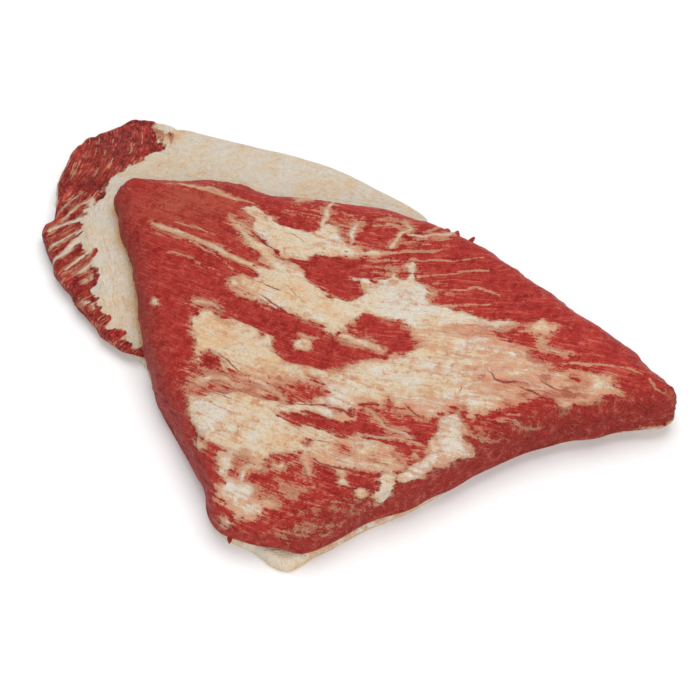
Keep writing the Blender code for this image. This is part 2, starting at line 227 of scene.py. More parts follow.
# Narrow strips of fat on the flat: x, y and half width along each
FAT_STRIPS = (
    ((-145, 61, 0.8), (-138, 57, 2.0), (-120, 50, 1.7), (-100, 38, 1.7), (-84, 28, 1.9),
     (-70, 20, 2.2)),
    ((-72, -160, 1.6), (-71, -153, 2.0), (-66, -149, 2.0), (-59, -151, 1.4)),
    ((-30, -142, 1.6), (-28, -149, 1.5), (-26, -157, 0.9)),
    ((-19, 62, 2.2), (-16, 72, 2.0), (-15, 80, 1.8), (-11, 87, 1.2)),
    ((3, 46, 1.8), (4, 56, 1.6), (8, 65, 1.2)),
    ((33, 44, 1.2), (37, 52, 1.6), (40, 60, 1.6), (47, 64, 1.3), (44, 70, 0.9)),
    ((45, 58, 1.0), (60, 58, 1.2), (74, 60, 1.3), (82, 63, 0.8)),
    ((-88, 68, 0.4), (-80, 61, 0.8), (-72, 54, 1.1)),
    ((-38, 87, 1.4), (-29, 90, 1.2)),
    ((-122, 100, 0.5), (-112, 98, 1.0), (-102, 97, 1.1), (-94, 92, 0.8), (-84, 86, 0.5)),
    ((-50, -150, 1.0), (-46, -152, 1.3), (-43, -149, 0.8)),
    ((139, -35, 1.4), (138, -44, 1.0), (142, -50, 0.9), (156, -52, 0.6)),
    ((-112, -11, 0.5), (-98, -13, 1.2), (-92, -18, 0.6)),
    ((-5, -40, 1.2), (3, -43, 2.2), (12, -46, 2.8), (19, -50, 2.4), (24, -52, 1.2)),
    ((-101, -80, 1.0), (-95, -78, 1.8), (-86, -79, 2.2), (-79, -84, 1.6), (-73, -87, 0.8)),
    ((-75, -76, 0.8), (-67, -79, 1.6), (-58, -84, 1.8), (-51, -90, 1.5), (-44, -96, 0.8)),
    ((-60, -77, 1.6), (-50, -80, 2.0), (-44, -83, 1.2)),
    ((-87, -67, 1.0), (-85, -71, 1.5), (-84, -73, 0.8)),
    ((-62, -89, 0.9), (-59, -91, 1.2)),
    ((10, -102, 0.8), (17, -107, 1.2), (22, -114, 1.0), (27, -120, 1.0),
     (40, -125, 1.1), (44, -129, 0.7)),
    ((15, -128, 0.7), (33, -129, 1.0), (50, -134, 0.8)),
    ((34, -145, 1.8), (36, -147, 1.2)),
    ((45, -143, 1.4), (47, -145, 0.9)),
)
# Fainter strips, of pale film rather than fat
FAINT_STRIPS = (
    ((25, 38, 1.6), (45, 41, 1.4), (70, 44, 0.9)),
    ((60, 63, 1.2), (70, 68, 1.6)),
    ((52, 17, 0.9), (70, 19, 1.1), (88, 24, 0.8), (104, 26, 0.6)),
    ((28, 32, 1.4), (50, 33, 1.1), (75, 34, 0.8), (100, 38, 0.5)),
    ((64, -10, 1.3), (85, -9, 1.1), (104, -8, 0.7)),
    ((75, 5, 0.7), (95, 8, 1.0), (108, 3, 1.3), (112, 0, 0.8)),
    ((150, -62, 1.4), (175, -63, 1.2), (198, -66, 0.9), (208, -72, 0.8)),
    ((212, -76, 0.8), (216, -84, 1.2), (221, -89, 0.8)),
    ((-136, 103, 0.6), (-122, 101, 0.9), (-84, 86, 0.9), (-70, 82, 0.6)),
    ((112, -108, 0.9), (116, -115, 1.2), (124, -121, 1.2), (134, -121, 0.9)),
    ((80, -124, 1.2), (92, -130, 1.5), (104, -132, 1.2)),
    ((20, 65, 1.0), (30, 68, 1.4), (38, 66, 1.0)),
    ((-36, -38, 1.0), (-28, -42, 1.4), (-20, -43, 0.8)),
    ((-128, 62, 0.6), (-112, 58, 0.9), (-96, 47, 0.7)),
    ((-132, 34, 0.6), (-118, 30, 0.9), (-104, 20, 0.7), (-92, 12, 0.6)),
    ((-116, 44, 0.5), (-98, 30, 0.8), (-84, 18, 0.7)),
)
# Small patches of bare lean inside the fat
BARE_PATCHES = (
    ((-33, -130), (-27, -129), (-22, -132), (-28, -136)),
    ((-5, -134), (1, -136), (5, -142), (1, -144), (-5, -140)),
    ((-103, -127), (-98, -127), (-98, -133), (-101, -133)),
    ((27, -97), (29, -95), (32, -101), (26, -104)),
    ((82, -32), (92, -32), (91, -37), (82, -37)),
    ((157, -72), (166, -74), (170, -81), (160, -80)),
    ((-31, -76), (-20, -75), (-23, -80)),
    ((34, -138), (40, -138), (44, -146), (36, -151), (33, -146)),
)
# Pale translucent film on the flat: x, y, radius along x and along y, strength
FILMS = (
    (-104, -80, 12, 14, 0.85), (-80, -84, 22, 9, 0.65), (-40, -86, 22, 7, 0.40),
    (82, -32, 30, 6, 0.95), (112, -34, 16, 7, 0.55), (-62, -92, 24, 5, 0.45),
    (40, -109, 28, 7, 0.5), (88, -118, 22, 9, 0.4), (-26, -200, 26, 9, 0.75),
    (-38, -170, 22, 11, 0.7), (-60, -168, 20, 10, 0.5), (-48, -152, 26, 8, 0.4),
    (-70, -146, 12, 8, 0.5), (20, -150, 24, 8, 0.6), (-15, -182, 20, 8, 0.3),
    (-50, -186, 26, 6, 0.3), (0, 66, 14, 11, 0.62), (55, 52, 26, 8, 0.45),
    (20, 52, 16, 8, 0.3), (-70, 62, 18, 16, 0.3), (150, -56, 30, 8, 0.2),
    (118, -30, 16, 8, 0.5), (140, -42, 8, 16, 0.5), (172, -80, 20, 10, 0.4),
    (100, -116, 30, 7, 0.4), (125, -119, 18, 4, 0.4), (-100, -14, 20, 7, 0.3),
    (0, -38, 20, 7, 0.3), (62, 2, 18, 9, 0.5), (29, 22, 20, 10, 0.5),
    (-28, 76, 22, 8, 0.35), (30, 70, 18, 9, 0.6), (-12, -74, 16, 6, 0.5),
    (-62, -84, 26, 7, 0.5), (26, -110, 16, 5, 0.35), (-35, -88, 12, 8, 0.5),
    (90, -121, 14, 9, 0.5), (112, -112, 20, 6, 0.45), (96, -127, 16, 8, 0.6),
    (-10, -186, 30, 12, 0.48), (10, -46, 22, 9, 0.35),
)
# Where the fat is thin enough for the lean to show through: x, y, radii, loss of cover
THIN_FAT = (
    (118, -66, 42, 28, 0.58), (150, -86, 26, 12, 0.32), (72, -47, 14, 7, 0.22),
    (55, -100, 18, 7, 0.35), (-10, -143, 18, 9, 0.42), (20, -147, 16, 8, 0.50),
    (-45, -84, 30, 8, 0.35), (-86, -120, 8, 6, 0.25), (0, -134, 10, 5, 0.30),
    (-60, -74, 24, 6, 0.30), (30, 30, 30, 8, 0.25), (-10, 45, 18, 6, 0.20),
    (98, -27, 20, 4, 0.22), (-70, -182, 14, 6, 0.35), (12, -26, 12, 8, 0.25),
    (10, -112, 14, 5, 0.35), (166, -91, 16, 8, 0.4), (112, -84, 24, 13, 0.22),
    (46, -6, 16, 9, 0.55), (-78, -3, 20, 8, 0.5), (32, -138, 14, 7, 0.3),
    (-76, 64, 14, 9, 0.4), (-72, -172, 12, 8, 0.15), (-4, 46, 14, 8, 0.12),
)
# Whiter and yellower places in the fat: x, y, radii, change of tone
TINTS = (
    (38, -8, 24, 10, -0.7), (42, -71, 22, 8, -0.8), (89, -43, 9, 7, -0.7),
    (-92, -109, 12, 6, -0.7), (-54, -116, 10, 4, -0.6), (-99, -122, 5, 6, -0.7),
    (75, -86, 9, 6, -0.5), (85, -100, 6, 4, -0.6), (74, -120, 6, 11, -0.5),
    (46, -154, 12, 5, -0.9), (-8, -97, 9, 5, -0.6), (30, -92, 8, 6, -0.4),
    (-76, -168, 9, 4, -0.4), (-47, -50, 12, 6, -0.2), (-38, -68, 8, 4, -0.8),
    (-85, 44, 9, 7, 0.4), (-75, -134, 12, 6, 0.5), (12, -78, 8, 8, 0.4),
    (-100, -45, 10, 12, 0.3), (60, -56, 10, 6, 0.5), (110, -66, 12, 8, 0.4),
    (-15, -12, 14, 10, 0.3), (-45, 2, 14, 8, 0.3),
)
# Other places: dull silver skin on the lobe with its sheen painted, the pale foot of the wall at
# the right corner, and on the point its pale rim, the mixed lean and fat at its tip and painted
# shade in its hollow
SILVER_SKIN_SHEEN = (-122, 80, 34, 22)
TOE = (222.0, -96.0, 13.0, 12.0)
TOE_TOP = 16.0
PALE_RIM = (-222.0, 165.0, 20.0, 42.0)
MIXED_ZONE = (-141.0, 186.0, 14.0, 12.0)
POINT_HOLLOW = (-200.0, 150.0, 34.0, 48.0)
# Slits where a sheet of fat has lifted or torn, drawn as lean darkened with painted shadow: x and
# y along each
SLOTS = (
    ((-75, 57), (-66, 49), (-60, 42), (-53, 36), (-47, 28), (-37, 26)),
    ((-77, 0), (-68, -4), (-58, -10), (-48, -18), (-40, -22)),
    ((-41, 52), (-36, 49), (-33, 46)),
    ((-42, 0), (-36, -6), (-30, -9)),
    ((-66, 6), (-58, 2), (-50, -1)),
    ((122, -85), (130, -88), (135, -92), (141, -95)),
    ((136, -78), (142, -84), (150, -87), (158, -86)),
    ((101, -71), (104, -77), (110, -80), (118, -80)),
    ((80, -82), (79, -88)),
    ((-88, -61), (-82, -66), (-76, -72)),
    ((-94, -92), (-88, -94), (-82, -97)),
    ((9, -101), (14, -100), (18, -104)),
    ((42, -103), (46, -107), (50, -111)),
    ((50, 60), (60, 61)),
    ((9, 8), (11, 2), (13, 0)),
    ((-24, -145), (-19, -150), (-10, -153), (0, -155), (4, -157)),
    ((-106, -120), (-104, -127), (-102, -134)),
    ((-18, -132), (-8, -134)),
    ((-38, -101), (-26, -102), (-16, -101)),
    ((-8, -104), (-2, -106), (4, -110)),
)

# Fat on the exposed lean of the point: x, y and half width along each strip
POINT_STRIPS = (
    ((-204, 98, 2.0), (-214, 96, 1.5), (-224, 92, 1.3), (-229, 89, 0.7)),
    ((-203, 86, 1.2), (-213, 81, 0.8), (-226, 73, 0.6)),
    ((-199, 80, 3.4), (-207, 74, 2.6), (-213, 67, 2.4), (-217, 63, 1.6), (-223, 60, 0.8)),
    ((-194, 66, 2.4), (-201, 58, 1.5), (-205, 55, 1.2), (-212, 49, 0.6)),
    ((-190, 54, 0.9), (-198, 47, 0.9), (-204, 44, 0.5)),
    ((-186, 44, 0.8), (-192, 39, 0.9), (-199, 36, 0.5)),
    ((-198, 19, 0.6), (-194, 16, 1.0), (-190, 16, 0.8), (-187, 11, 0.5)),
    ((-198, 117, 1.0), (-208, 113, 0.7), (-214, 107, 0.6), (-220, 99, 0.6)),
    ((-206, 127, 0.6), (-214, 121, 0.5), (-221, 112, 0.5)),
)

# How far the photo's line of sight moves in plan for each millimetre down
VIEW_SLOPE = 0.84
# Fibres of the flat: skew of the line they turn along, its start and length, slope at the
# start and change of slope, then the start, length and slope of the dip in the right corner
FLAT_FIBRE_SKEW = 0.35
FLAT_FIBRE_TURN = (-95.0, 180.0)
FLAT_FIBRE_SLOPE = -0.54
FLAT_FIBRE_CHANGE = 0.60
FLAT_FIBRE_DIP = (50.0, 40.0, 0.34)
# Fibres of the point: first angle and its change per millimetre (degrees), first and last y
POINT_FIBRE_TURN = (34.0, 0.51, 75.0, 205.0)

# Torn ends at the flat's edges: root x, y, z, direction in plan (degrees), length, half
# width, half thickness and how far the end droops
LOOSE_ENDS = (
    (83.0, 69.0, 33.5, 75.0, 7.0, 2.8, 1.1, -1.6),
    (93.0, 62.0, 34.0, 48.0, 7.2, 2.2, 1.0, -2.2),
    (75.0, 74.0, 33.5, 120.0, 6.0, 3.0, 1.1, 0.5),
    (228.0, -90.0, 25.0, -8.0, 6.0, 3.6, 1.5, 1.0),
    (-78.0, -188.0, 11.0, 246.0, 8.0, 2.2, 1.1, 4.0),
)
# Their rows and columns of vertices, how much of each lies inside the meat, and how far it
# sways and swells
END_ROWS = 14
END_COLUMNS = 12
END_ROOT = 3.0
END_SWAY = 0.8
END_LUMPS = 0.35
END_LUMP_SIZE = 2.5

# How far from an outline or strip its distance is worked out, and from a slot
REACH = 18.0
SLOT_REACH = 9.0
# Points handled at a time, so that memory stays small
BLOCK = 20000
# Cells after which a random field repeats
LATTICE = 64
# Points read between two knots of an outline before it is spaced evenly
KNOT_PARTS = 24
METRES_PER_MILLIMETRE = 0.001
# Spacing of the points along the outlines of sheets of fat and of bare patches, and the
# distance over which one sheet's look gives way to the next one's
SHEET_SPACING = 2.5
PATCH_SPACING = 1.5
SHEET_BLEND = 3.0
# Shells: rim vertices to one of the underside, how far the underside's rim lies inside the
# foot, angles up the foot (degrees), and steps that the shoulder's length is summed over
UNDER_STEP = 8
UNDER_INSET = 7.0
FOOT_ANGLES = (0.0, 30.0, 60.0)
SHOULDER_PARTS = 400
# Share of the wall's height over which the relief fades in
PUSH_FADE = 0.06

# The tissue's attributes, with the value that each has where a piece sets none
PLAIN_TISSUE = {
    "fat": 0.0, "cover": 1.0, "tone": 0.0, "film": 0.0, "dark": 0.0, "grain": 0.0, "skin": 0.0,
    "slot": REACH, "ragged": 1.0, "fold": 1.0,
}
# Patterns of the material: cells along, across and up, detail and roughness. The first ones
# lie along the fibres, in cells per millimetre, and the others in the piece, per metre
FIBRE_PATTERNS = {
    "strand": ((0.045, 0.36, 0.14), 3.0, 0.58),
    "flow": ((0.045, 0.26, 0.12), 2.0, 0.5),
    "thread": ((0.13, 1.15, 0.5), 3.0, 0.6),
    "split": ((0.02, 0.26, 0.10), 3.0, 0.5),
    "lines": ((0.05, 0.62, 0.3), 2.0, 0.5),
}
DASH_PATTERN = ((0.05, 0.5, 0.25), 2.0, 0.5)
PLACE_PATTERNS = {
    "crumb": ((700.0, 700.0, 700.0), 2.0, 0.6),
    "mottle": ((190.0, 190.0, 190.0), 4.0, 0.6),
    "blotch": ((50.0, 50.0, 50.0), 3.0, 0.5),
}
BUMP_HEIGHT = 0.00026
TISSUE_SPECULAR = 0.11

# Stage, in metres, watts and radians; each lamp has a name, a place, a size, a power and a turn
TABLE_HALF = 6.0
CAMERA_LENS = 100.0
CAMERA_SENSOR = 36.0
CAMERA_AIM = (0.003, -0.034, 0.020)
LAMPS = (
    ("overhead light", (0.15, 0.45, 1.9), 1.7, 25.0, (-0.22, 0.08, 0.0)),
    ("front fill", (0.35, -1.7, 1.1), 1.6, 18.0, (0.98, 0.0, 0.2)),
)
SKY_STRENGTH = 0.54


def srgb(red, green, blue):
    """Linear colour of an 8-bit screen colour."""
    share = np.array((red, green, blue)) / 255.0
    linear = np.where(share <= 0.04045, share / 12.92, ((share + 0.055) / 1.055) ** 2.4)
    return tuple(float(c) for c in linear)


def smooth_step(value):
    """0 below 0, 1 above 1, and 3v^2 - 2v^3 between."""
    value = np.clip(value, 0.0, 1.0)
    return value * value * (3.0 - 2.0 * value)


def ramp(value, start, length):
    """Smooth step of a value from start on over a length, which is negative for a fall."""
    return smooth_step((value - start) / length)


def hump(value, width):
    """Bell curve of a distance: 1 at 0, and 1/e one width away."""
    return np.exp(-((value / width) ** 2))


def bell(points, x, y, wide, deep):
    """1 at the point x, y, falling off as a bell curve of these radii."""
    return np.exp(-(((points[:, 0] - x) / wide) ** 2) - ((points[:, 1] - y) / deep) ** 2)


def spline(ring, at):
    """Catmull-Rom curve through a closed ring, read at fractional positions in it."""
    base = np.floor(at).astype(int)
    t = (at - base)[:, None]
    k0, k1, k2, k3 = (ring[(base + step) % len(ring)] for step in (-1, 0, 1, 2))
    return 0.5 * (
        2 * k1
        + (k2 - k0) * t
        + (2 * k0 - 5 * k1 + 4 * k2 - k3) * t**2
        + (3 * k1 - 3 * k2 + k3 - k0) * t**3
    )


def closed_curve(points, spacing):
    """Points at even spacing along the closed Catmull-Rom curve through the given ones."""
    knots = np.array(points, float)
    fine = spline(knots, np.arange(0.0, len(knots), 1.0 / KNOT_PARTS))
    ring = np.vstack((fine, fine[:1]))
    length = np.concatenate(([0.0], np.cumsum(np.linalg.norm(np.diff(ring, axis=0), axis=1))))
    count = int(round(length[-1] / spacing))
    at = np.linspace(0.0, length[-1], count, endpoint=False)
    return np.column_stack([np.interp(at, length, ring[:, axis]) for axis in (0, 1)])


def outward(loop):
    """Unit normals of an anticlockwise loop, pointing out."""
    along = np.roll(loop, -1, axis=0) - np.roll(loop, 1, axis=0)
    normal = np.column_stack((along[:, 1], -along[:, 0]))
    return normal / np.linalg.norm(normal, axis=1, keepdims=True)


def ragged(loop, depth, seed):
    """Moves a loop in and out by up to depth, as a knife leaves a trimmed edge.

    The move is a sum of four sine waves that run round the loop, with drawn phases.
    """
    draw = np.random.default_rng(seed)
    turn = np.linspace(0.0, 2.0 * math.pi, len(loop), endpoint=False)
    wave = sum(
        math.sin(phase) * np.sin(count * turn + 2.0 * phase)
        for count, phase in zip((17, 23, 31, 41), draw.uniform(0.6, 5.6, 4))
    )
    return loop + outward(loop) * (depth * wave / 2.0)[:, None]


def closed(loop):
    """A loop as a path that ends where it starts."""
    return np.vstack((loop, loop[:1]))


def span_between(loop, start, end):
    """The part of a loop from the point nearest start on to the point nearest end."""
    first, last = (int(np.argmin(((loop - np.array(p)) ** 2).sum(1))) for p in (start, end))
    return loop[first:last + 1]


def distance_to(points, path):
    """Distance from each point to an open path, in blocks so that memory stays small."""
    edge = np.diff(path, axis=0)
    square = (edge**2).sum(1)
    found = np.empty(len(points))
    for start in range(0, len(points), BLOCK):
        block = points[start:start + BLOCK]
        reach = block[:, None, :] - path[None, :-1, :]
        share = np.clip((reach * edge).sum(2) / square, 0.0, 1.0)
        gap = reach - share[:, :, None] * edge
        found[start:start + BLOCK] = np.sqrt((gap**2).sum(2).min(1))
    return found


def near_box(points, corners, reach):
    """Numbers of the points within reach of the box around some corners."""
    low, high = corners.min(0) - reach, corners.max(0) + reach
    return np.nonzero(((points > low) & (points < high)).all(1))[0]


def signed_depth(points, loop, reach=REACH):
    """Distance to a loop, positive inside and negative outside, never below minus reach."""
    depth = np.full(len(points), -reach)
    near = near_box(points, loop, reach)
    some = points[near]
    a, b = loop, np.roll(loop, -1, axis=0)
    y = some[:, None, 1]
    crosses = (a[:, 1] > y) != (b[:, 1] > y)
    rise = np.where(b[:, 1] == a[:, 1], 1.0, b[:, 1] - a[:, 1])
    x_hit = a[:, 0] + (y - a[:, 1]) * (b[:, 0] - a[:, 0]) / rise
    inside = (crosses & (some[:, None, 0] < x_hit)).sum(1) % 2 == 1
    gap = distance_to(some, closed(loop))
    depth[near] = np.where(inside, gap, np.maximum(-gap, -reach))
    return depth


def along_edge(points, start, end):
    """Share of the way from start to end that is nearest each point, and the vector there."""
    edge = end - start
    reach = points - start
    share = np.clip((reach @ edge) / (edge @ edge), 0.0, 1.0)
    return share, reach - share[:, None] * edge


def strip_depth(points, strips):
    """Half width less distance for strips of changing width: positive inside any of them."""
    best = np.full(len(points), -REACH)
    for strip in strips:
        strip = np.array(strip, float)
        near = near_box(points, strip[:, :2], REACH)
        for start, end in zip(strip[:-1], strip[1:]):
            share, away = along_edge(points[near], start[:2], end[:2])
            inside = start[2] + share * (end[2] - start[2]) - np.linalg.norm(away, axis=1)
            best[near] = np.maximum(best[near], inside)
    return best


def slot_distance(points, paths):
    """Distance to the nearest of some open paths, below zero on their right-hand side."""
    signed = np.full(len(points), REACH)
    for path in paths:
        path = np.array(path, float)
        near = near_box(points, path, SLOT_REACH)
        for start, end in zip(path[:-1], path[1:]):
            edge = end - start
            away = along_edge(points[near], start, end)[1]
            gap = np.linalg.norm(away, axis=1)
            side = np.where(edge[0] * away[:, 1] < edge[1] * away[:, 0], -1.0, 1.0)
            closer = gap < np.abs(signed[near])
            signed[near[closer]] = (side * gap)[closer]
    return signed


def inset(loop, depth):
    """Moves a loop inwards by depth, or less where it is too narrow or turns too tightly.

    The limit is the radius of the largest circle that fits inside the loop and touches it
    at that point, smoothed over the points beside it.
    """
    normals = outward(loop)
    reach = loop[:, None, :] - loop[None, :, :]
    square = (reach**2).sum(2)
    lean = (reach * normals[:, None, :]).sum(2)
    radius = np.where(lean > 1e-6, square / (2.0 * np.maximum(lean, 1e-6)), np.inf).min(1)
    limit = np.minimum(1.0, 0.75 * radius / np.maximum(depth, 1e-6))
    for smooth in (np.min, np.mean):
        limit = smooth([np.roll(limit, shift) for shift in (-2, -1, 0, 1, 2)], axis=0)
    return loop - normals * (depth * limit)[:, None]


def noise(points, size, seed):
    """Smooth random field from -1 to 1 with features of this size along each axis.

    Random values stand on a lattice that repeats, and smooth_step blends the eight around
    each point.
    """
    table = np.random.default_rng(seed).uniform(-1.0, 1.0, (LATTICE,) * 3)
    cell = points / np.array(size, float)
    base = np.floor(cell).astype(int)
    share = smooth_step(cell - base)
    total = np.zeros(len(points))
    for corner in range(8):
        step = np.array(((corner >> 2) & 1, (corner >> 1) & 1, corner & 1))
        weight = np.prod(np.where(step == 1, share, 1.0 - share), axis=1)
        i, j, k = ((base + step) % LATTICE).T
        total += weight * table[i, j, k]
    return total


def waves(points, *terms):
    """Sum of random fields, each given as its height, its size and its seed."""
    return sum(height * noise(points, size, seed) for height, size, seed in terms)


FLAT_CURVE = closed_curve(FLAT_OUTLINE, 9.0)
FLAT_LOOP = ragged(FLAT_CURVE, 0.9, 3)
FLAT_CUT_END = span_between(FLAT_CURVE, (-33, -205), (226, -94))
POINT_LOOP = ragged(closed_curve(POINT_OUTLINE, 8.0), 1.0, 5)
SEAM_LOOP = closed_curve(SEAM_OUTLINE, 8.0)
CAP_LOOP = closed_curve(CAP_OUTLINE, 10.0)
CAP_CUT_END = span_between(CAP_LOOP, (-24, -201), (219, -89))
WING_RIM = np.array(SEAM_OUTLINE[:11] + POINT_OUTLINE[1:18], float)


def past_point_line(points):
    """How far a point lies over the hidden end of the point muscle, across its line."""
    along = POINT_LINE_END - POINT_LINE_START
    along = along / np.linalg.norm(along)
    return (points - POINT_LINE_START) @ np.array((-along[1], along[0]))


def cap_top(points):
    """Height of the fat cap's upper face: even, thinner at the point end, with a lobe."""
    thin = (CAP_THICKNESS - CAP_THICKNESS_AT_POINT_END) * smooth_step(
        past_point_line(points) / CAP_THINNING_LENGTH)
    return CAP_THICKNESS - thin + CAP_LOBE_RISE * bell(points, *CAP_LOBE)


def wing_height(points):
    """Height of point and seam fat over the cap: grows from the hidden line, falls at the rim."""
    taper = smooth_step((past_point_line(points) - POINT_TAPER_START) / POINT_TAPER_LENGTH)
    at_point_end = smooth_step((RIM_FALL_GROWS_FROM - points[:, 0]) / RIM_FALL_GROWTH_LENGTH)
    near_rim = 1.0 - smooth_step(distance_to(points, WING_RIM) / RIM_FALL_WIDTH)
    fall = (RIM_FALL + RIM_FALL_GROWTH * at_point_end) * near_rim
    return POINT_END_HEIGHT * taper * (1.0 - fall)


def stack_top(points):
    """Height of the face that the flat lies on."""
    return cap_top(points) + wing_height(points)


def point_top(points):
    """Height of the point muscle: the wing's face less the seam fat that lies on it."""
    full = np.minimum(SEAM_THICKNESS, SEAM_SHARE * wing_height(points) + SEAM_LIP)
    depth = np.maximum(signed_depth(points, SEAM_LOOP, 40.0), 0.0)
    sunk = (full - SEAM_LIP) * smooth_step(depth / SEAM_FEATHER_WIDTH)
    return stack_top(points) - SEAM_LIP - sunk


def flat_top(points):
    """Height of the flat's lean face before relief: a low dome towards the point end."""
    height = FLAT_TOP_AT_CUT_END + FLAT_TOP_RISE * bell(points, *FLAT_DOME)
    return height - NEAR_CORNER_FALL * bell(points, *NEAR_CORNER)


def on_table(points):
    """Underside of the fat cap."""
    return np.zeros(len(points))


def above_cap(points):
    """Underside of the point muscle."""
    return cap_top(points) + LAYER_GAP


def above_stack(points):
    """Underside of the flat."""
    return stack_top(points) + LAYER_GAP


def seam_top(points):
    """Face of the seam fat: its rim dips under the point's face, so that no step shows."""
    rim = 1.0 - smooth_step(signed_depth(points, SEAM_LOOP) / SEAM_RIM_WIDTH)
    return stack_top(points) - SEAM_RIM_DIP * rim


def under_seam(points):
    """Underside of the seam fat: over the point muscle, and down to the cap beyond it."""
    beyond = smooth_step(1.0 - signed_depth(points, POINT_LOOP) / UNDER_SEAM_BLEND)
    return point_top(points) * (1.0 - beyond) + above_cap(points) * beyond


def blended_grid(low, high, left, right):
    """Four-sided patch: both pairs of edges are blended across, less the corners' own blend."""
    u = np.linspace(0.0, 1.0, len(low))[None, :, None]
    v = np.linspace(0.0, 1.0, len(left))[:, None, None]
    corners = (
        (1 - u) * (1 - v) * low[0] + u * (1 - v) * low[-1]
        + (1 - u) * v * high[0] + u * v * high[-1]
    )
    return (
        (1 - v) * low[None] + v * high[None] + (1 - u) * left[:, None] + u * right[:, None]
        - corners
    )


class Shell:
    """A closed layer: rings up its wall, a blended grid on top and a coarse one below.

    The wall turns out from the underside by a quarter circle of radius foot and turns in to
    the top by a superellipse of width shoulder and of power square, in that many turns.
    corners are the four places, anticlockwise, where the top grid's sides meet, and counts
    the cells along its two pairs of sides. low and high give the heights of both faces.
    """

    def __init__(self, loop, corners, counts, low, high, foot, shoulder, square, turns):
        near = [int(np.argmin(((loop - np.array(c)) ** 2).sum(1))) for c in corners]
        ends = [near[0]]
        for place in near[1:] + near[:1]:
            ends.append(place if place > ends[-1] else place + len(loop))
        sides = (counts[0], counts[1], counts[0], counts[1])
        at = np.concatenate([
            np.linspace(a, b, n, endpoint=False) for a, b, n in zip(ends, ends[1:], sides)
        ])
        total = len(at)
        waist = low(loop) + np.minimum(foot, 0.4 * (high(loop) - low(loop)))
        rings, climb = [], []
        for angle in np.radians(FOOT_ANGLES):
            plan = inset(loop, foot * (1.0 - math.sin(angle)))
            z = low(plan) + (waist - low(loop)) * (1.0 - math.cos(angle))
            rings.append(spline(np.column_stack((plan, z)), at))
            climb.append(0.0)
        power = 2.0 / square
        fine = np.linspace(0.0, math.pi / 2.0, SHOULDER_PARTS)
        across = np.mean(shoulder) * (1.0 - np.abs(np.cos(fine)) ** power)
        up = np.mean(high(loop) - waist) * np.sin(fine) ** power
        run = np.concatenate(([0.0], np.cumsum(np.hypot(np.diff(across), np.diff(up)))))
        for angle in np.interp(np.linspace(0.0, run[-1], turns), run, fine):
            plan = inset(loop, shoulder * (1.0 - abs(math.cos(angle)) ** power))
            climb.append(math.sin(angle) ** power)
            z = waist + (high(plan) - waist) * climb[-1]
            rings.append(spline(np.column_stack((plan, z)), at))
        rim = rings[-1]
        grid, ids = self.patch(rim[:, :2], counts, (len(rings) - 1) * total, len(rings) * total)
        inner = grid[1:-1, 1:-1].reshape(-1, 2)
        rings[-1] = np.column_stack((rim[:, :2], high(rim[:, :2])))
        self.points = np.vstack(rings + [np.column_stack((inner, high(inner)))])
        self.climb = np.concatenate((np.repeat(climb, total), np.ones(len(inner))))
        step = np.arange(total)
        after = (step + 1) % total
        quads = [
            np.column_stack((k * total + step, k * total + after,
                             (k + 1) * total + after, (k + 1) * total + step))
            for k in range(len(rings) - 1)
        ]
        quads.append(self.cells(ids))
        base = len(self.points)
        few = at[::UNDER_STEP]
        plan = spline(inset(loop, foot + UNDER_INSET), few)
        small = (counts[0] // UNDER_STEP, counts[1] // UNDER_STEP)
        grid, ids = self.patch(plan, small, base, base + len(few))
        inner = grid[1:-1, 1:-1].reshape(-1, 2)
        under = np.vstack((plan, inner))
        self.points = np.vstack((self.points, np.column_stack((under, low(under)))))
        self.climb = np.concatenate((self.climb, np.full(len(under), -1.0)))
        quads.append(self.cells(ids)[:, ::-1])
        self.quads = np.vstack(quads)
        lead = base + step // UNDER_STEP
        ahead = base + (step // UNDER_STEP + 1) % len(few)
        last = step % UNDER_STEP == UNDER_STEP - 1
        self.tris = np.vstack((
            np.column_stack((after, step, lead)),
            np.column_stack((ahead, after, lead))[last],
        ))

    @staticmethod
    def patch(rim, counts, rim_start, inner_start):
        """Blended grid inside a ring that starts at its first corner, and its vertex numbers."""
        wide, deep = counts
        total = 2 * (wide + deep)
        loop = np.vstack((rim, rim[:1]))
        number = rim_start + np.arange(total + 1)
        number[-1] = rim_start
        cuts = (0, wide, wide + deep, 2 * wide + deep, total)
        low, right, high, left = (slice(a, b + 1) for a, b in zip(cuts, cuts[1:]))
        grid = blended_grid(loop[low], loop[high][::-1], loop[left][::-1], loop[right])
        ids = np.zeros((deep + 1, wide + 1), int)
        ids[1:-1, 1:-1] = inner_start + np.arange((deep - 1) * (wide - 1)).reshape(
            deep - 1, wide - 1)
        ids[0], ids[-1] = number[low], number[high][::-1]
        ids[:, 0], ids[:, -1] = number[left][::-1], number[right]
        return grid, ids

    @staticmethod
    def cells(ids):
        """The quads of a grid of vertex numbers."""
        return np.column_stack([
            part.ravel() for part in (ids[:-1, :-1], ids[:-1, 1:], ids[1:, 1:], ids[1:, :-1])
        ])

    def normals(self):
        """Unit vertex normals, from the crossed diagonals of the quads around each."""
        p = self.points
        face = np.cross(p[self.quads[:, 2]] - p[self.quads[:, 0]],
                        p[self.quads[:, 3]] - p[self.quads[:, 1]])
        total = np.zeros_like(p)
        for corner in range(4):
            for axis in range(3):
                total[:, axis] += np.bincount(
                    self.quads[:, corner], weights=face[:, axis], minlength=len(p))
        return total / np.maximum(np.linalg.norm(total, axis=1, keepdims=True), 1e-9)

    def push(self, amount):
        """Moves the seen vertices along their normals; the underside stays."""
        seen = smooth_step(self.climb / PUSH_FADE)
        self.points = self.points + self.normals() * (amount * seen)[:, None]


def in_metres(points):
    """Drawing millimetres to the frame's metres."""
    return (points + np.array((*CENTRE_SHIFT, 0.0))) * METRES_PER_MILLIMETRE


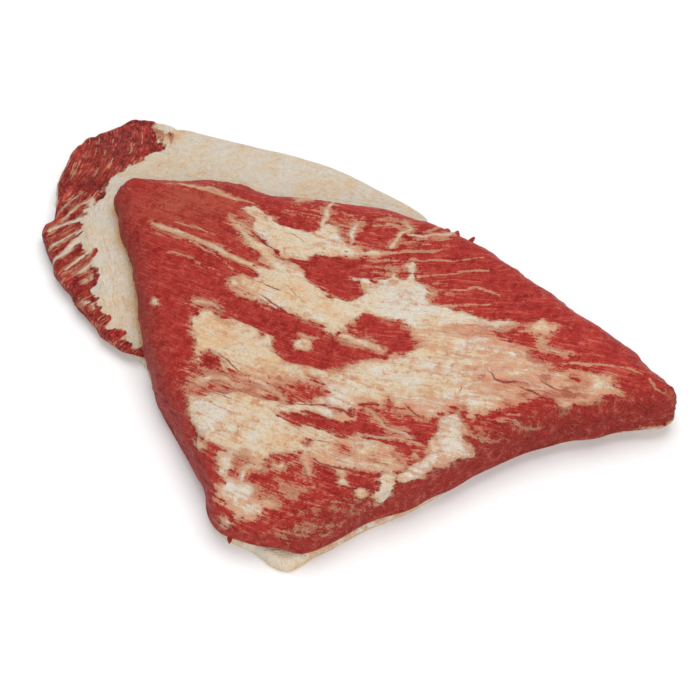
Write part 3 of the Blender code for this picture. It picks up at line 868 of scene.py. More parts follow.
def make_piece(name, points, faces, fields, material):
    """A mesh object at the origin with smooth faces and one attribute per field."""
    mesh = bpy.data.meshes.new(name)
    mesh.from_pydata(in_metres(points).tolist(), [], faces)
    for key, values in fields.items():
        kind, slot = ("FLOAT_VECTOR", "vector") if values.ndim == 2 else ("FLOAT", "value")
        mesh.attributes.new(key, kind, "POINT").data.foreach_set(
            slot, values.astype(np.float32).ravel())
    mesh.shade_smooth()
    mesh.materials.append(material)
    piece = bpy.data.objects.new(name, mesh)
    bpy.context.scene.collection.objects.link(piece)
    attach(piece, "root")
    return piece


def shell_piece(name, shell, fields, relief, material):
    """The piece of a shell, whose relief is pushed up after its fields were worked out."""
    shell.push(relief)
    faces = shell.quads.tolist() + shell.tris.tolist()
    return make_piece(name, shell.points, faces, fields, material)


def torn_end(x, y, z, turn, length, half_width, half_thick, droop, seed):
    """A tapered tongue: ellipses along a path that droops with the square of its length.

    Its half width falls as the root of what is left of the length, and both ends close to a
    point; the first lies inside the meat.
    """
    along = np.linspace(0.0, 1.0, END_ROWS)[:, None]
    round_it = np.linspace(0.0, 2.0 * math.pi, END_COLUMNS + 1)[None, :-1]
    aim = math.radians(turn)
    ahead = np.array((math.cos(aim), math.sin(aim)))
    aside = np.array((-ahead[1], ahead[0]))
    swell = np.clip(1.0 - along**3, 0.0, 1.0) ** 0.6 * np.minimum(1.0, 8.0 * along + 0.05)
    sway = END_SWAY * np.sin(2.6 * along + seed)
    across = half_width * swell * np.cos(round_it) + sway
    lift = half_thick * swell * np.sin(round_it) - droop * along**2
    reach = length * along - END_ROOT
    grid = np.stack(np.broadcast_arrays(
        x + reach * ahead[0] + across * aside[0],
        y + reach * ahead[1] + across * aside[1],
        z + lift), axis=-1)
    inner = grid[1:-1]
    rows, columns = inner.shape[:2]
    ids = np.arange(rows * columns).reshape(rows, columns)
    beside = np.roll(ids, -1, axis=1)
    quads = np.column_stack([
        part.ravel() for part in (ids[:-1], beside[:-1], beside[1:], ids[1:])
    ])
    start, tip = rows * columns, rows * columns + 1
    faces = quads.tolist()
    faces += [[start, b, a] for a, b in zip(ids[0].tolist(), beside[0].tolist())]
    faces += [[tip, a, b] for a, b in zip(ids[-1].tolist(), beside[-1].tolist())]
    points = np.vstack((inner.reshape(-1, 3), grid[0].mean(0), grid[-1].mean(0)))
    points[:-2] += np.column_stack([
        waves(points[:-2], (END_LUMPS, END_LUMP_SIZE, seed + k)) for k in (0, 20, 40)])
    return points, faces


def flat_fibre(points):
    """Distance along and across the flat's muscle fibres, and height.

    The fibres run down to the right at the lobe and level out towards the far corner, later
    the nearer they lie to the cut end, and dip again in the right corner. The distance
    across is y less the running integral of their slope.
    """
    x, y = points[:, 0], points[:, 1]
    along = x + FLAT_FIBRE_SKEW * y
    start, length = FLAT_FIBRE_TURN
    t = np.clip((along - start) / length, 0.0, 1.0)
    turned = length * (t**3 - 0.5 * t**4) + np.maximum(along - (start + length), 0.0)
    run = FLAT_FIBRE_SLOPE * along + FLAT_FIBRE_CHANGE * turned
    start, length, slope = FLAT_FIBRE_DIP
    past = np.maximum(x - start, 0.0)
    dip = slope * past**2 / (past + length) * ramp(y, 20.0, -100.0)
    return np.column_stack((x, y - run + dip, points[:, 2]))


def point_fibre(points):
    """Distance along and across the fibres of the exposed point, and height.

    Their angle grows evenly with y from the lower left to the tip, so the distance across is
    x less the integral of the angle's cotangent, which is the logarithm of its sine over its
    rate; below the first y the angle stays as it is.
    """
    x, y = points[:, 0], points[:, 1]
    start, rate, first, last = POINT_FIBRE_TURN
    start, rate = math.radians(start), math.radians(rate)
    turn = start + rate * (np.clip(y, first, last) - first)
    run = np.log(np.sin(turn)) / rate + np.minimum(y - first, 0.0) / math.tan(start)
    return np.column_stack((1.15 * y + 0.3 * x, x - run, points[:, 2]))


def seen_plan(shell, top):
    """Plan place of each vertex, with walls slid back along the photo's line of sight.

    A pattern drawn on the top as it is seen then runs on down the walls as it is seen.
    """
    drop = shell.points[:, 2] - top(shell.points[:, :2])
    plan = shell.points[:, :2].copy()
    plan[:, 1] += VIEW_SLOPE * np.minimum(drop, 0.0)
    return plan


def tissue_fields(points, fibre, **own):
    """A value per vertex for each attribute of the tissue; those not given stay plain."""
    fields = {**PLAIN_TISSUE, **own}
    return {"fibre": fibre, **{
        key: np.broadcast_to(value, len(points)) for key, value in fields.items()}}


def blend_sheets(plan):
    """Distance into the sheets of fat, and the tone, cover and thinning border there.

    Each sheet weighs e to the power of its distance over SHEET_BLEND, so that neighbours
    blend where they meet.
    """
    sheet = np.full(len(plan), -REACH)
    weight = np.full(len(plan), 1e-6)
    looks = np.zeros((3, len(plan)))
    for *look, outline in FAT_SHEETS.values():
        depth = signed_depth(plan, closed_curve(outline, SHEET_SPACING))
        sheet = np.maximum(sheet, depth)
        share = np.exp(np.clip(depth, -15.0, 8.0) / SHEET_BLEND)
        weight += share
        looks += share * np.array(look)[:, None]
    return (sheet, *(looks / weight))


def flat_fields(shell, stand):
    """Tissue of the flat, where its fat, films, slots, cut grain and painted shade on its walls
    are, and its relief.

    stand is how far the sheets of fat stand on the lean, in millimetres.
    """
    plan = seen_plan(shell, flat_top)
    place = np.column_stack((plan, shell.points[:, 2]))
    fibre = flat_fibre(place)
    fibre[:, 1] += waves(place, (1.6, (26.0, 26.0, 40.0), 16))
    plan = plan + np.column_stack([waves(place, (1.3, (7.0, 7.0, 12.0), k)) for k in (17, 18)])

    # Fat: sheets and strips, less bare patches, with the pale toe at the wall's foot
    edge = waves(fibre, (2.6, (26.0, 5.5, 9.0), 11), (0.8, (12.0, 3.0, 6.0), 12))
    edge = edge + waves(place, (1.6, (6.5, 5.5, 6.0), 13))
    sheet, tone, cover, feather = blend_sheets(plan)
    from_cut = distance_to(shell.points[:, :2], FLAT_CUT_END)
    far_wall = ramp(from_cut, 60.0, 20.0) * ramp(shell.climb, 0.8, -0.4)
    strips = strip_depth(plan, FAT_STRIPS) - 5.0 * far_wall
    faint = strip_depth(plan, FAINT_STRIPS) - 5.0 * far_wall
    small = np.clip(sheet + 6.0, 0.0, 6.0) / 6.0
    fat = np.maximum(sheet + edge * (0.35 + 0.65 * small), strips + 0.2 * edge + 0.2)
    for outline in BARE_PATCHES:
        bare = signed_depth(plan, closed_curve(outline, PATCH_SPACING))
        fat = np.minimum(fat, 0.8 - bare - 0.3 * edge)
    border = hump(np.maximum(fat, 0.0), 5.0)
    toe = bell(shell.points, *TOE) * ramp(shell.points[:, 2], TOE_TOP, -4.0)
    fat = np.maximum(fat, np.where(toe > 0.05, 6.5 * toe - 2.0, -REACH))

    # How thick, how pale and how filmy it is
    patchy = 0.8 + waves(place, (0.7, (15.0, 10.0, 14.0), 14))
    for *where, loss in THIN_FAT:
        cover = cover - loss * patchy * bell(plan, *where)
    cover = cover - 0.15 * smooth_step(waves(fibre, (1.6, (40.0, 12.0, 30.0), 19)))
    cover = cover - 0.75 * feather * border - 0.25 * toe
    for *where, change in TINTS:
        tone = tone + change * bell(plan, *where)
    tone = tone + waves(fibre, (0.55, (24.0, 11.0, 20.0), 52))
    tone = tone + waves(place, (0.3, (7.0, 6.0, 7.0), 53))
    film = 0.85 * ramp(faint, -1.0, 1.6)
    for *where, strength in FILMS:
        film = np.maximum(film, strength * bell(plan, *where))
    slot = slot_distance(plan, SLOTS)
    grain = (1.0 - ramp(from_cut, 7.0, 9.0)) * (1.0 - ramp(fat, 0.5, 2.0))

    # Relief, in millimetres
    wall = 1.0 - ramp(shell.climb, 0.55, 0.45)
    thick = ramp(fat, -0.6, 2.6)
    lumps = waves(place, (0.6, (10.0, 8.0, 9.0), 21), (0.3, 4.0, 22))
    fold = 1.5 * np.minimum(
        np.abs(noise(fibre, (17.0, 4.2, 8.0), 23)) + 0.25 * np.abs(noise(place, 7.0, 9)),
        0.12 + np.abs(noise(place, (9.0, 7.5, 9.0), 8)))
    strands = waves(fibre, (0.28, (20.0, 3.2, 8.0), 24), (0.16, (9.0, 2.2, 5.0), 25))
    strands = strands + waves(place, (0.55, (30.0, 22.0, 30.0), 26), (0.2, 5.0, 29))
    crumbs = waves(place, (0.36, 3.6, 27), (0.3, 6.5, 28))
    relief = (
        stand * thick * (0.4 + 0.6 * cover) * (0.75 + 0.6 * lumps)
        + thick * (0.45 * lumps + 1.1 * np.minimum(fold, 0.7) - 0.3)
        + (1.0 - thick) * (strands * (1.0 - grain) + grain * crumbs)
        + wall * waves(place, (1.1, (11.0, 11.0, 9.0), 30), (0.9, 4.5, 10))
        + hump(fat - 1.5, 3.0) * waves(place, (0.55, 3.4, 7))
        - 0.35 * hump(slot, 1.4)
    )
    # Painted shade on the walls: more towards the point end, little on the cut grain, and in
    # patches on the right of the cut end
    shade = (0.16 + 0.12 * ramp(plan[:, 0], -60.0, -40.0)) * (1.0 - 0.9 * grain)
    shadowy = 1.0 + waves(place, (1.2, 6.0, 54))
    shade = shade + 0.2 * grain * ramp(plan[:, 0], 70.0, 60.0) * shadowy
    return tissue_fields(
        place, fibre, fat=fat, cover=np.maximum(cover, 0.0), tone=tone,
        film=np.clip(film, 0.0, 1.0), dark=shade * wall, slot=slot, grain=grain,
        skin=bell(plan, *SILVER_SKIN_SHEEN), ragged=0.3 + 0.9 * ramp(sheet - strips, -4.0, 4.0),
        fold=fold), relief


def wing_fields(shell, lean_side):
    """Tissue of the point muscle and of the seam fat over it, from one shared pattern."""
    place, plan = shell.points, shell.points[:, :2]
    x, y, z = place.T
    fibre = point_fibre(place)
    edge = waves(fibre, (4.0, (30.0, 10.0, 14.0), 31), (2.2, (14.0, 4.5, 8.0), 32))
    edge = edge + waves(place, (8.5, (11.0, 9.0, 11.0), 51), (2.6, (5.0, 4.5, 5.0), 33))
    lip = signed_depth(plan, SEAM_LOOP, 60.0)
    inside = signed_depth(plan, POINT_LOOP, 30.0)
    open_side = smooth_step((-108.0 - x - 0.25 * (170.0 - y)) / 10.0 + 1.0)
    near_lip = hump(lip, 10.0)
    strips = strip_depth(plan, POINT_STRIPS)

    # Fat: inside the lip, in strips, along the pale rim, over the tip and in the mixed zone
    band = inside - 5.5 + 0.35 * edge + 20.0 * ramp(y, 30.0, 25.0)
    fat = np.maximum(np.minimum(lip + edge * near_lip * open_side, band),
                     strips + waves(place, (0.7, 3.0, 49)) + 0.08 * edge)
    rim = 1.5 - inside + 0.12 * edge
    fat = np.maximum(fat, rim - 9.0 * (1.0 - smooth_step(3.0 * bell(plan, *PALE_RIM))))
    tip = np.minimum(x + 0.55 * y + 44.0 + edge, 8.0)
    fat = np.maximum(fat, np.where(y > 150.0, tip, fat))
    zone = bell(plan, *MIXED_ZONE)
    streaks = waves(fibre, (8.0, (40.0, 3.4, 12.0), 50))
    fat = fat + zone * (streaks - 0.7 * np.clip(fat, -5.0, 5.0))
    by_flat = distance_to(plan, closed(FLAT_LOOP))
    if not lean_side:
        fat = np.where(lip > 14.0, 14.0, fat)
        fibre = np.column_stack((0.85 * x - 0.5 * y, by_flat, z))

    left = ramp(x, -128.0, -20.0)
    warm = left * hump(by_flat, 3.0)
    far_rim = (1.0 - open_side) * hump(lip, 5.0) * ramp(x, -70.0, -50.0)
    behind = hump(np.maximum(by_flat - 7.0, 0.0), 6.0) * (1.0 - left)
    tone = -0.42 + 2.1 * warm + 1.3 * far_rim + 1.1 * zone + waves(place, (0.25, 30.0, 34))
    down = np.column_stack((x + 0.22 * y, y, z))
    streak = smooth_step(0.2 + waves(down, (0.9, (4.5, 60.0, 12.0), 35))) * left
    cover = 1.1 - 0.34 * streak * ramp(y, 90.0, -60.0) * (1.0 - warm) - 0.3 * zone
    film = -0.3 + 0.4 * smooth_step(waves(fibre, (1.5, (22.0, 9.0, 12.0), 45)))
    # Painted shade in the point's hollow, put on the lean through the dark attribute
    hollow = bell(plan, *POINT_HOLLOW) - 0.1 + waves(fibre, (1.0, (20.0, 9.0, 12.0), 48))
    relief = np.where(
        fat > 0.0,
        waves(place, (0.25, (16.0, 16.0, 12.0), 36), (0.12, 4.0, 37)),
        waves(fibre, (0.65, (16.0, 3.6, 8.0), 38)) + waves(place, (0.35, 5.0, 39)))
    if lean_side:
        wall = 1.0 - ramp(shell.climb, 0.6, 0.4)
        relief = relief + wall * waves(place, (1.2, 8.0, 46), (0.7, 3.8, 47))
    # All fat here takes a little painted shade, so that the seam fat, which faces the light, is
    # dimmer
    return tissue_fields(
        place, fibre, fat=fat, cover=cover, tone=tone + 1.1 * behind,
        film=film + 0.35 * hump(strips, 2.5) + 0.8 * zone,
        dark=np.where(fat < 0.0, 0.34 * smooth_step(hollow), 0.05),
        ragged=0.12 + open_side * near_lip + 1.3 * zone,
        fold=0.35 + 1.2 * np.abs(noise(fibre, (15.0, 5.0, 8.0), 40))), relief


def cap_fields(shell):
    """Tissue of the fat cap: all fat, warmer towards the table, with a few soft lumps.

    On the long near side, where its edge lies in the lean's shade, painted shade covers it: it is
    painted as darkened lean.
    """
    place = shell.points
    x, y, z = place.T
    long_side = ramp(y, -30.0, -30.0) * ramp(y, -178.0, 9.0) * ramp(x + 0.35 * y, -70.0, -10.0)
    border = 4.0 * long_side * (1.0 - long_side)
    cut_strip = 1.0 - ramp(distance_to(place[:, :2], CAP_CUT_END), 2.0, 4.0)
    relief = waves(place, (0.45, (9.0, 9.0, 5.0), 42), (0.2, (3.5, 3.5, 3.0), 43))
    return tissue_fields(
        place, place,
        fat=14.0 - 22.0 * long_side + waves(place, (7.0, (9.0, 9.0, 3.0), 55)) * border,
        cover=1.15 - 0.55 * cut_strip + waves(place, (0.12, 12.0, 44)),
        tone=-0.4 + 0.9 * np.exp(-z / 2.5) + waves(place, (0.4, (25.0, 25.0, 9.0), 41)),
        dark=0.3 * long_side, ragged=0.3 + border), relief


class Graph:
    """Adds and links the nodes of one material."""

    def __init__(self, name):
        self.material = bpy.data.materials.new(name)
        self.material.use_nodes = True
        self.tree = self.material.node_tree
        self.tree.nodes.clear()

    def add(self, kind, sockets=(), **settings):
        """New node with its settings; sockets maps an input to a value or to an output."""
        node = self.tree.nodes.new("ShaderNode" + kind)
        for key, value in settings.items():
            setattr(node, key, value)
        for key, value in dict(sockets).items():
            if isinstance(value, bpy.types.NodeSocket):
                self.tree.links.new(value, node.inputs[key])
            else:
                node.inputs[key].default_value = value
        return node

    def field(self, name, output="Fac"):
        """One of the piece's own attributes."""
        return self.add(
            "Attribute", attribute_name=name, attribute_type="GEOMETRY").outputs[output]

    def math(self, operation, a, b=0.0):
        """One arithmetic node."""
        return self.add("Math", {0: a, 1: b}, operation=operation).outputs[0]

    def times(self, a, b):
        """Product of two values."""
        return self.math("MULTIPLY", a, b)

    def size(self, value):
        """A value without its sign."""
        return self.math("ABSOLUTE", value)

    def step(self, value, low, high, to_low=0.0, to_high=1.0):
        """Smooth step of a value between low and high."""
        return self.add("MapRange", {
            "Value": value, "From Min": low, "From Max": high, "To Min": to_low,
            "To Max": to_high}, interpolation_type="SMOOTHSTEP").outputs[0]

    def mix(self, share, a, b):
        """Colour a where share is 0 and b where it is 1."""
        a, b = (c if isinstance(c, bpy.types.NodeSocket) else (*c[:3], 1.0) for c in (a, b))
        return self.add("Mix", {0: share, 6: a, 7: b}, data_type="RGBA").outputs[2]

    def add_up(self, start, *terms):
        """start plus each value times its weight."""
        total = start
        for value, weight in terms:
            total = self.add("Math", {0: value, 1: weight, 2: total},
                             operation="MULTIPLY_ADD").outputs[0]
        return total

    def noise(self, vector, stretch, detail, rough):
        """Noise on a stretched vector, spread so that most of it lies within -2 and 2."""
        mapped = self.add("Mapping", {"Vector": vector, "Scale": stretch}, vector_type="POINT")
        value = self.add("TexNoise", {
            "Vector": mapped.outputs[0], "Scale": 1.0, "Detail": detail, "Roughness": rough,
        }).outputs["Fac"]
        return self.add_up(-5.0, (value, 10.0))

    def shade(self, **sockets):
        """Ends the material with a shader that has these inputs."""
        sockets = {key.replace("_", " "): value for key, value in sockets.items()}
        shader = self.add("BsdfPrincipled", sockets)
        self.tree.links.new(shader.outputs[0], self.add("OutputMaterial").inputs[0])
        return self.material


def tissue_material(name, colours, lean, deep_lean, dashes=0.0):
    """Raw lean and fat in one material, told apart by the piece's own attributes.

    The signed distance to the fat is stirred by noise that is long along the fibres, then
    cut at zero. Film, which is thin fat that the lean shows through, lies in streaks round
    the fat and wherever the piece asks for it. Lean is streaked along its fibres and
    speckled where it is cut across. dashes is how strongly pale dashes mark the lean.
    """
    g = Graph(name)
    fibre = g.field("fibre", "Vector")
    place = g.add("TexCoord").outputs["Object"]
    patterns = {key: g.noise(fibre, *shape) for key, shape in FIBRE_PATTERNS.items()}
    patterns.update({key: g.noise(place, *shape) for key, shape in PLACE_PATTERNS.items()})
    crumb, mottle, blotch, split = (
        patterns[key] for key in ("crumb", "mottle", "blotch", "split"))
    fields = {key: g.field(key) for key in PLAIN_TISSUE}
    grain, fold, ragged = fields["grain"], fields["fold"], fields["ragged"]

    def mixed(start=0.0, **weights):
        """start plus each named pattern times its weight."""
        return g.add_up(start, *((patterns[key], weight) for key, weight in weights.items()))

    depth = g.add_up(fields["fat"], (
        mixed(flow=0.8, strand=0.2, crumb=0.12, mottle=0.75), ragged))
    fat_share = g.step(depth, -1.1, 1.0)

    # Lean: streaks, pale flecks and lines, veins, dark fibres, silver skin with painted sheen and
    # cut grain
    shade = mixed(strand=0.4, thread=0.3, crumb=0.45, mottle=0.5, blotch=0.35)
    colour = g.mix(g.step(shade, -2.4 + 1.1 * dashes, 0.8 + 0.5 * dashes), deep_lean, lean)
    for pale, low, high, most in (
        (mixed(crumb=0.45, thread=0.75, mottle=0.4), 0.6, 2.3, 0.42),
        (mixed(crumb=0.6, mottle=0.6), -0.6, 1.8, 0.13),
        (mixed(lines=0.85, thread=0.4, crumb=0.2, blotch=0.35), 0.5, 2.3, 0.5),
    ):
        colour = g.mix(g.step(pale, low, high, 0.0, most), colour, colours.pale_lean)
    if dashes:
        patterns["dash"] = g.noise(fibre, *DASH_PATTERN)
        dash = mixed(dash=0.85, mottle=0.25, crumb=0.15, blotch=0.45)
        colour = g.mix(g.step(dash, 0.75, 1.6, 0.0, dashes), colour, colours.film)
    vein = g.step(g.size(mixed(split, thread=0.06)), 0.02, 0.2, 0.62, 0.0)
    colour = g.mix(g.times(vein, g.step(mottle, -0.8, 1.4)), colour, colours.pale_lean)
    dim = mixed(strand=0.5, thread=0.5, crumb=0.2, lines=-0.6)
    colour = g.mix(g.step(dim, 0.4, 2.2, 0.0, 0.55), colour, deep_lean)
    # Silver skin: its own paler colour, with its dull sheen painted in
    sheen = g.times(fields["skin"], g.step(shade, -1.4, 1.0, 0.2, 1.0))
    colour = g.mix(sheen, colour, colours.silver_skin_sheen)
    cut = g.mix(g.step(mixed(crumb=0.9, mottle=0.6), -2.4, -0.3), deep_lean, lean)
    speckle = g.step(mixed(crumb=0.6, mottle=1.0), 0.0, 2.0, 0.08, 0.75)
    colour = g.mix(grain, colour, g.mix(speckle, cut, colours.pale_lean))

    # Film on the lean, which turns into fat where it is strongest
    near = g.step(fields["fat"], -6.0, 0.5, 0.0, 2.5)
    base = g.add_up(near, (fields["film"], 4.2))
    grit = mixed(flow=0.6, strand=0.4, thread=0.6, crumb=0.35, mottle=0.7)
    level = g.add_up(base, (g.times(grit, g.step(base, 0.0, 1.1, 0.6, 1.0)), 1.0))
    colour = g.mix(g.step(level, 1.2, 3.9, 0.0, 0.88), colour, colours.film)
    fat_share = g.math("MAXIMUM", fat_share, g.step(level, 3.5, 5.4, 0.0, 0.85))

    # Fat: its tone, and the places where it is thin, creased or split, with painted shade in
    # creases and splits
    tint = mixed(fields["tone"], mottle=0.28, blotch=0.34, crumb=0.1, thread=0.16, strand=0.16)
    fat = g.mix(g.step(tint, -0.9, 0.1), colours.white_fat, colours.fat)
    fat = g.mix(g.step(tint, 0.1, 1.2), fat, colours.warm_fat)
    thin = g.math("SUBTRACT", 1.0, fields["cover"])
    show = mixed(g.add_up(0.0, (thin, 4.4)), flow=0.6, strand=0.3, mottle=0.45, crumb=0.2,
                 thread=0.25, blotch=0.3)
    # Creases take the film colour: partly thinner fat, partly painted shade in the valleys
    crease = g.times(g.step(fold, 0.0, 0.42, 2.3, 0.0), g.step(mottle, -1.5, 1.0))
    seen = g.add_up(g.step(depth, 0.0, 3.0, 1.3, 0.0), (show, 1.0),
                    (g.times(crease, ragged), 1.0))
    fat = g.mix(g.step(seen, 0.3, 3.9, 0.0, 0.9), fat, colours.film)
    fine = g.times(g.step(mixed(crumb=0.5, thread=0.8), 0.2, 2.4, 0.0, 0.38),
                   g.step(thin, -0.2, 0.1, 0.25, 1.0))
    fat = g.mix(fine, fat, colours.film)
    # Splits along the low folds are darkened with the crevice colour, which is painted shade
    gap = g.times(g.step(fold, 0.0, 0.13, 1.0, 0.0),
                  g.step(mixed(mottle, crumb=0.6), 0.0, 1.3, 0.0, 0.7))
    fat = g.mix(g.times(gap, g.step(ragged, 0.1, 1.0)), fat, colours.crevice_shade)
    bare = g.step(show, 2.9, 4.2, 0.0, 0.85)
    fat_share = g.times(fat_share, g.math("SUBTRACT", 1.0, bare))

    # Both together, with painted shadow beside the fat's edges and in the slots, and painted
    # shade
    # Painted shadow: lean just outside the fat's edge is darkened in places, as under a lifted
    # edge
    under = g.times(g.step(depth, -2.0, -0.6), g.step(blotch, -0.2, 1.4, 0.0, 0.5))
    colour = g.mix(fat_share, g.mix(under, colour, deep_lean), fat)
    # Slits: the lean in the tear, darkened towards deep lean as painted shadow
    beside = g.step(g.size(fields["slot"]), 2.2, 3.0, 1.0, 0.0)
    narrow = g.size(mixed(fields["slot"], mottle=0.14, crumb=0.06))
    slit_shade = g.times(beside, g.step(mixed(narrow, blotch=0.3, mottle=0.12), 0.1, 0.9, 0.78, 0.0))
    colour = g.mix(slit_shade, colour, deep_lean)
    # Painted shade: the dark attribute mixes in the shadow colour on walls, hollows and fat
    colour = g.mix(g.times(fields["dark"], 0.85), colour, colours.shadow)

    line = g.times(g.step(g.size(split), 0.03, 0.20, 1.0, 0.0),
                   g.step(mixed(mottle, blotch=0.5), -0.3, 0.9))
    lean_bump = mixed(thread=0.45, crumb=0.4, strand=0.25, mottle=0.3)
    lean_bump = g.add_up(lean_bump, (g.times(crumb, grain), 1.3), (line, -1.0))
    fat_bump = mixed(1.1, thread=0.5, crumb=0.5, flow=0.8, mottle=1.5)
    height = g.add("Mix", {0: fat_share, 2: lean_bump, 3: fat_bump}, data_type="FLOAT").outputs[0]
    bump = g.add("Bump", {"Height": height, "Strength": 1.0, "Distance": BUMP_HEIGHT})
    return g.shade(
        Base_Color=colour, Normal=bump.outputs[0], Specular_IOR_Level=TISSUE_SPECULAR,
        Roughness=g.step(mixed(fat_share, mottle=0.15), 0.0, 1.2, 0.45, 0.6))


def colour_property(name, text, *value):
    """A colour that a user can change, given as an 8-bit screen colour."""
    return bpy.props.FloatVectorProperty(
        name=name, description=text, subtype="COLOR", size=3, min=0.0, max=1.0,
        default=srgb(*value))


class BrisketSizes(bpy.types.PropertyGroup):
    """Sizes that a user would change."""

    sheet_thickness: bpy.props.FloatProperty(
        name="Sheet thickness", description="How far the sheets of fat stand on the lean",
        default=0.0017, min=0.0, max=0.004, unit="LENGTH", precision=4)
    camera_height: bpy.props.FloatProperty(
        name="Camera elevation", description="Angle of the camera above the table",
        default=math.radians(50.0), min=0.2, max=1.5, unit="ROTATION")
    camera_distance: bpy.props.FloatProperty(
        name="Camera distance", description="From the camera to the middle of the brisket",
        default=1.4097, min=0.5, max=5.0, unit="LENGTH")


class BrisketColours(bpy.types.PropertyGroup):
    """Colours of the meat and of the table."""

    lean: colour_property("Lean", "Fresh lean of the flat", 170, 47, 41)
    deep_lean: colour_property("Deep lean", "Darker fibres of the flat", 130, 26, 24)
    point_lean: colour_property("Point lean", "Lean of the point", 177, 49, 41)
    point_deep: colour_property("Deep point lean", "Darker lean of the point", 100, 20, 20)
    pale_lean: colour_property("Pale lean", "Thin pale fibres in the lean", 208, 110, 90)
    film: colour_property("Film", "Thin fat that the lean shows through", 203, 148, 117)
    # The silver skin's paler colour, with its painted sheen
    silver_skin_sheen: colour_property("Silver skin", "Dull sheen near the lobe", 176, 84, 64)
    fat: colour_property("Fat", "Cream beef fat", 223, 202, 172)
    white_fat: colour_property("White fat", "Whitest fat", 222, 211, 195)
    warm_fat: colour_property("Warm fat", "Orange fat", 224, 186, 144)
    # Painted shade in the splits of the fat
    crevice_shade: colour_property("Crevices", "Splits in the fat", 160, 96, 68)
    # Painted shade, mixed in by the dark attribute on the walls, the point's hollow, the seam
    # fat, the cap's near side and the loose ends
    shadow: colour_property("Hollows", "Shaded foot of the walls and wet hollows", 104, 36, 26)
    table: bpy.props.FloatVectorProperty(
        name="Table", description="Plain pale floor", subtype="COLOR", size=3, min=0.0,
        max=1.0, default=(0.92, 0.92, 0.92))


class BRISKET_OT_fat_cap(bpy.types.Operator):
    """Build the fat cap that the brisket lies on"""

    bl_idname = "brisket.fat_cap"
    bl_label = "Fat cap"

    def execute(self, context):
        colours = context.scene.brisket_colours
        shell = Shell(CAP_LOOP, ((-43, -211), (225, -82), (28, 130), (-229, 100)), (240, 200),
                      on_table, cap_top, foot=2.0, shoulder=5.0, square=2.2, turns=12)
        material = tissue_material("cap fat", colours, colours.lean, colours.deep_lean)
        piece = shell_piece("fat_cap_dressed", shell, *cap_fields(shell), material)
        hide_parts("fat_cap")
        return {"FINISHED"}


class BRISKET_OT_point_muscle(bpy.types.Operator):
    """Build the point muscle that shows at the left end"""

    bl_idname = "brisket.point_muscle"
    bl_label = "Point muscle"

    def execute(self, context):
        colours = context.scene.brisket_colours
        shell = Shell(POINT_LOOP, ((-148, -30), (28, 90), (-143, 198), (-232, 97)), (192, 152),
                      above_cap, point_top, foot=1.5, shoulder=6.0, square=2.4, turns=12)
        material = tissue_material("point lean", colours, colours.point_lean,
                                   colours.point_deep, dashes=0.85)
        piece = shell_piece("point_muscle_dressed", shell, *wing_fields(shell, True), material)
        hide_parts("point_muscle")
        return {"FINISHED"}


class BRISKET_OT_seam_fat(bpy.types.Operator):
    """Build the seam fat over the point muscle"""

    bl_idname = "brisket.seam_fat"
    bl_label = "Seam fat"

    def execute(self, context):
        colours = context.scene.brisket_colours
        far = ramp(SEAM_LOOP[:, 0] * 0.45 + SEAM_LOOP[:, 1], 108.0, 20.0)
        shoulder = SEAM_SHOULDER + (SEAM_FAR_SHOULDER - SEAM_SHOULDER) * far
        shell = Shell(SEAM_LOOP, ((-152, -21), (62, 108), (-142, 193), (-203, 95)), (184, 144),
                      under_seam, seam_top, foot=0.3, shoulder=shoulder, square=2.0, turns=12)
        material = tissue_material("seam fat", colours, colours.point_lean, colours.point_deep)
        piece = shell_piece("seam_fat_dressed", shell, *wing_fields(shell, False), material)
        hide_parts("seam_fat")
        return {"FINISHED"}


class BRISKET_OT_flat_muscle(bpy.types.Operator):
    """Build the flat muscle with the fat left on its lean face"""

    bl_idname = "brisket.flat_muscle"
    bl_label = "Flat muscle"

    def execute(self, context):
        colours = context.scene.brisket_colours
        stand = context.scene.brisket_sizes.sheet_thickness / METRES_PER_MILLIMETRE
        cut = smooth_step(2.0 * outward(FLAT_LOOP) @ np.array(CUT_END_DIRECTION))
        corner = ramp(FLAT_LOOP[:, 1], NEAR_WALL_TURN, -NEAR_WALL_FADE)
        shoulder = GROWN_SHOULDER + (CUT_SHOULDER - GROWN_SHOULDER) * np.maximum(cut, corner)
        shoulder = shoulder - CUT_END_SHARPER * cut
        shell = Shell(FLAT_LOOP, ((-49, -201), (231, -90), (60, 86), (-176, 108)), (232, 232),
                      above_stack, flat_top, foot=3.0, shoulder=shoulder, square=2.3, turns=34)
        material = tissue_material("flat lean", colours, colours.lean, colours.deep_lean)
        piece = shell_piece("flat_muscle_dressed", shell, *flat_fields(shell, stand), material)
        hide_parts("flat_muscle")
        return {"FINISHED"}


class BRISKET_OT_loose_ends(bpy.types.Operator):
    """Build the small torn ends of meat that hang at the flat's edges"""

    bl_idname = "brisket.loose_ends"
    bl_label = "Loose ends"

    def execute(self, context):
        colours = context.scene.brisket_colours
        points, faces = [], []
        for number, end in enumerate(LOOSE_ENDS):
            more, quads = torn_end(*end, seed=50 + number)
            faces += [[index + len(points) for index in face] for face in quads]
            points += more.tolist()
        points = np.array(points)
        # The ends take a little painted shade through the dark attribute
        fields = tissue_fields(
            points, flat_fibre(points), fat=-9.0 + waves(points, (2.0, 6.0, 61)), cover=0.7,
            film=0.1, dark=0.1, grain=0.3)
        material = tissue_material("loose ends", colours, colours.lean, colours.deep_lean)
        piece = make_piece("flat_loose_ends", points, faces, fields, material)
        return {"FINISHED"}


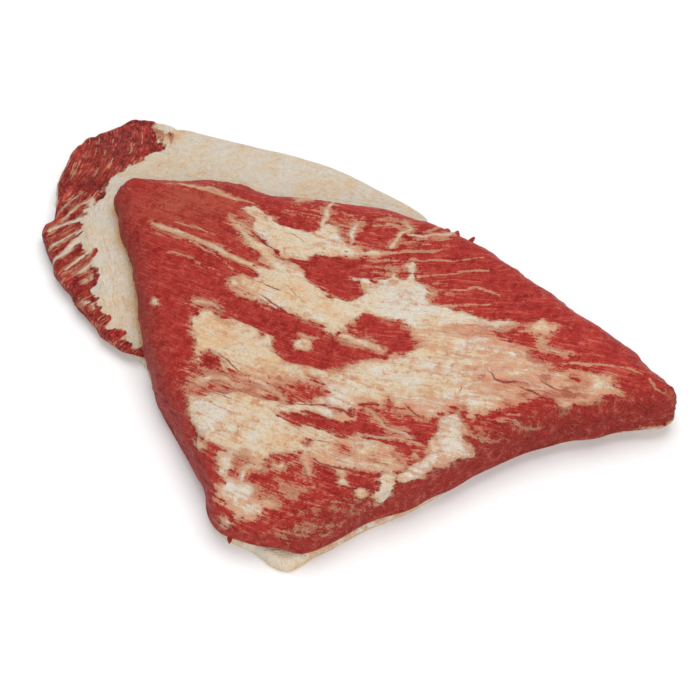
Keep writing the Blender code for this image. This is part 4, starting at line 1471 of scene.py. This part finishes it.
class BRISKET_OT_stage(bpy.types.Operator):
    """Lay the floor and set the camera and the soft light"""

    bl_idname = "brisket.stage"
    bl_label = "Stage"

    def execute(self, context):
        scene = context.scene
        colours, sizes = scene.brisket_colours, scene.brisket_sizes
        mesh = bpy.data.meshes.new("table")
        signs = ((-1, -1), (1, -1), (1, 1), (-1, 1))
        mesh.from_pydata([(x * TABLE_HALF, y * TABLE_HALF, 0.0) for x, y in signs], [],
                         [(0, 1, 2, 3)])
        table = bpy.data.objects.new("table", mesh)
        scene.collection.objects.link(table)
        mesh.materials.append(Graph("table").shade(
            Base_Color=(*colours.table, 1.0), Roughness=0.9, Specular_IOR_Level=0.1))

        view = bpy.data.cameras.new("camera")
        view.lens = CAMERA_LENS
        view.sensor_width = CAMERA_SENSOR
        camera = bpy.data.objects.new("camera", view)
        lift, far = sizes.camera_height, sizes.camera_distance
        x, y, z = CAMERA_AIM
        camera.location = (x, y - far * math.cos(lift), z + far * math.sin(lift))
        camera.rotation_euler = (math.pi / 2.0 - lift, 0.0, 0.0)
        scene.collection.objects.link(camera)
        scene.camera = camera

        for name, place, size, power, turn in LAMPS:
            lamp = bpy.data.lights.new(name, "AREA")
            lamp.size = size
            lamp.energy = power
            light = bpy.data.objects.new(name, lamp)
            light.location = place
            light.rotation_euler = turn
            scene.collection.objects.link(light)

        world = bpy.data.worlds.new("soft room")
        world.use_nodes = True
        sky = world.node_tree.nodes["Background"]
        sky.inputs["Color"].default_value = (1.0, 1.0, 1.0, 1.0)
        sky.inputs["Strength"].default_value = SKY_STRENGTH
        scene.world = world
        scene.view_settings.view_transform = "Standard"
        return {"FINISHED"}


class BRISKET_PT_panel(bpy.types.Panel):
    """Brisket sizes, colours and pieces"""

    bl_idname = "BRISKET_PT_panel"
    bl_label = "Beef Brisket"
    bl_space_type = "VIEW_3D"
    bl_region_type = "UI"
    bl_category = "Brisket"

    def draw(self, context):
        layout = self.layout
        for group in (context.scene.brisket_sizes, context.scene.brisket_colours):
            for key in group.bl_rna.properties.keys():
                if key not in ("rna_type", "name"):
                    layout.prop(group, key)
        for operator in PIECE_OPERATORS:
            layout.operator(operator.bl_idname)


PIECE_OPERATORS = (
    BRISKET_OT_fat_cap, BRISKET_OT_point_muscle, BRISKET_OT_seam_fat, BRISKET_OT_flat_muscle,
    BRISKET_OT_loose_ends, BRISKET_OT_stage,
)
CLASSES = (BrisketSizes, BrisketColours, *PIECE_OPERATORS, BRISKET_PT_panel)


def register():
    for item in CLASSES:
        bpy.utils.register_class(item)
    bpy.types.Scene.brisket_sizes = bpy.props.PointerProperty(type=BrisketSizes)
    bpy.types.Scene.brisket_colours = bpy.props.PointerProperty(type=BrisketColours)


def unregister():
    del bpy.types.Scene.brisket_colours
    del bpy.types.Scene.brisket_sizes
    for item in reversed(CLASSES):
        bpy.utils.unregister_class(item)


def main():
    register()
    bpy.ops.brisket.fat_cap()
    bpy.ops.brisket.point_muscle()
    bpy.ops.brisket.seam_fat()
    bpy.ops.brisket.flat_muscle()
    bpy.ops.brisket.loose_ends()
    bpy.ops.brisket.stage()


if __name__ == "__main__":
    main()
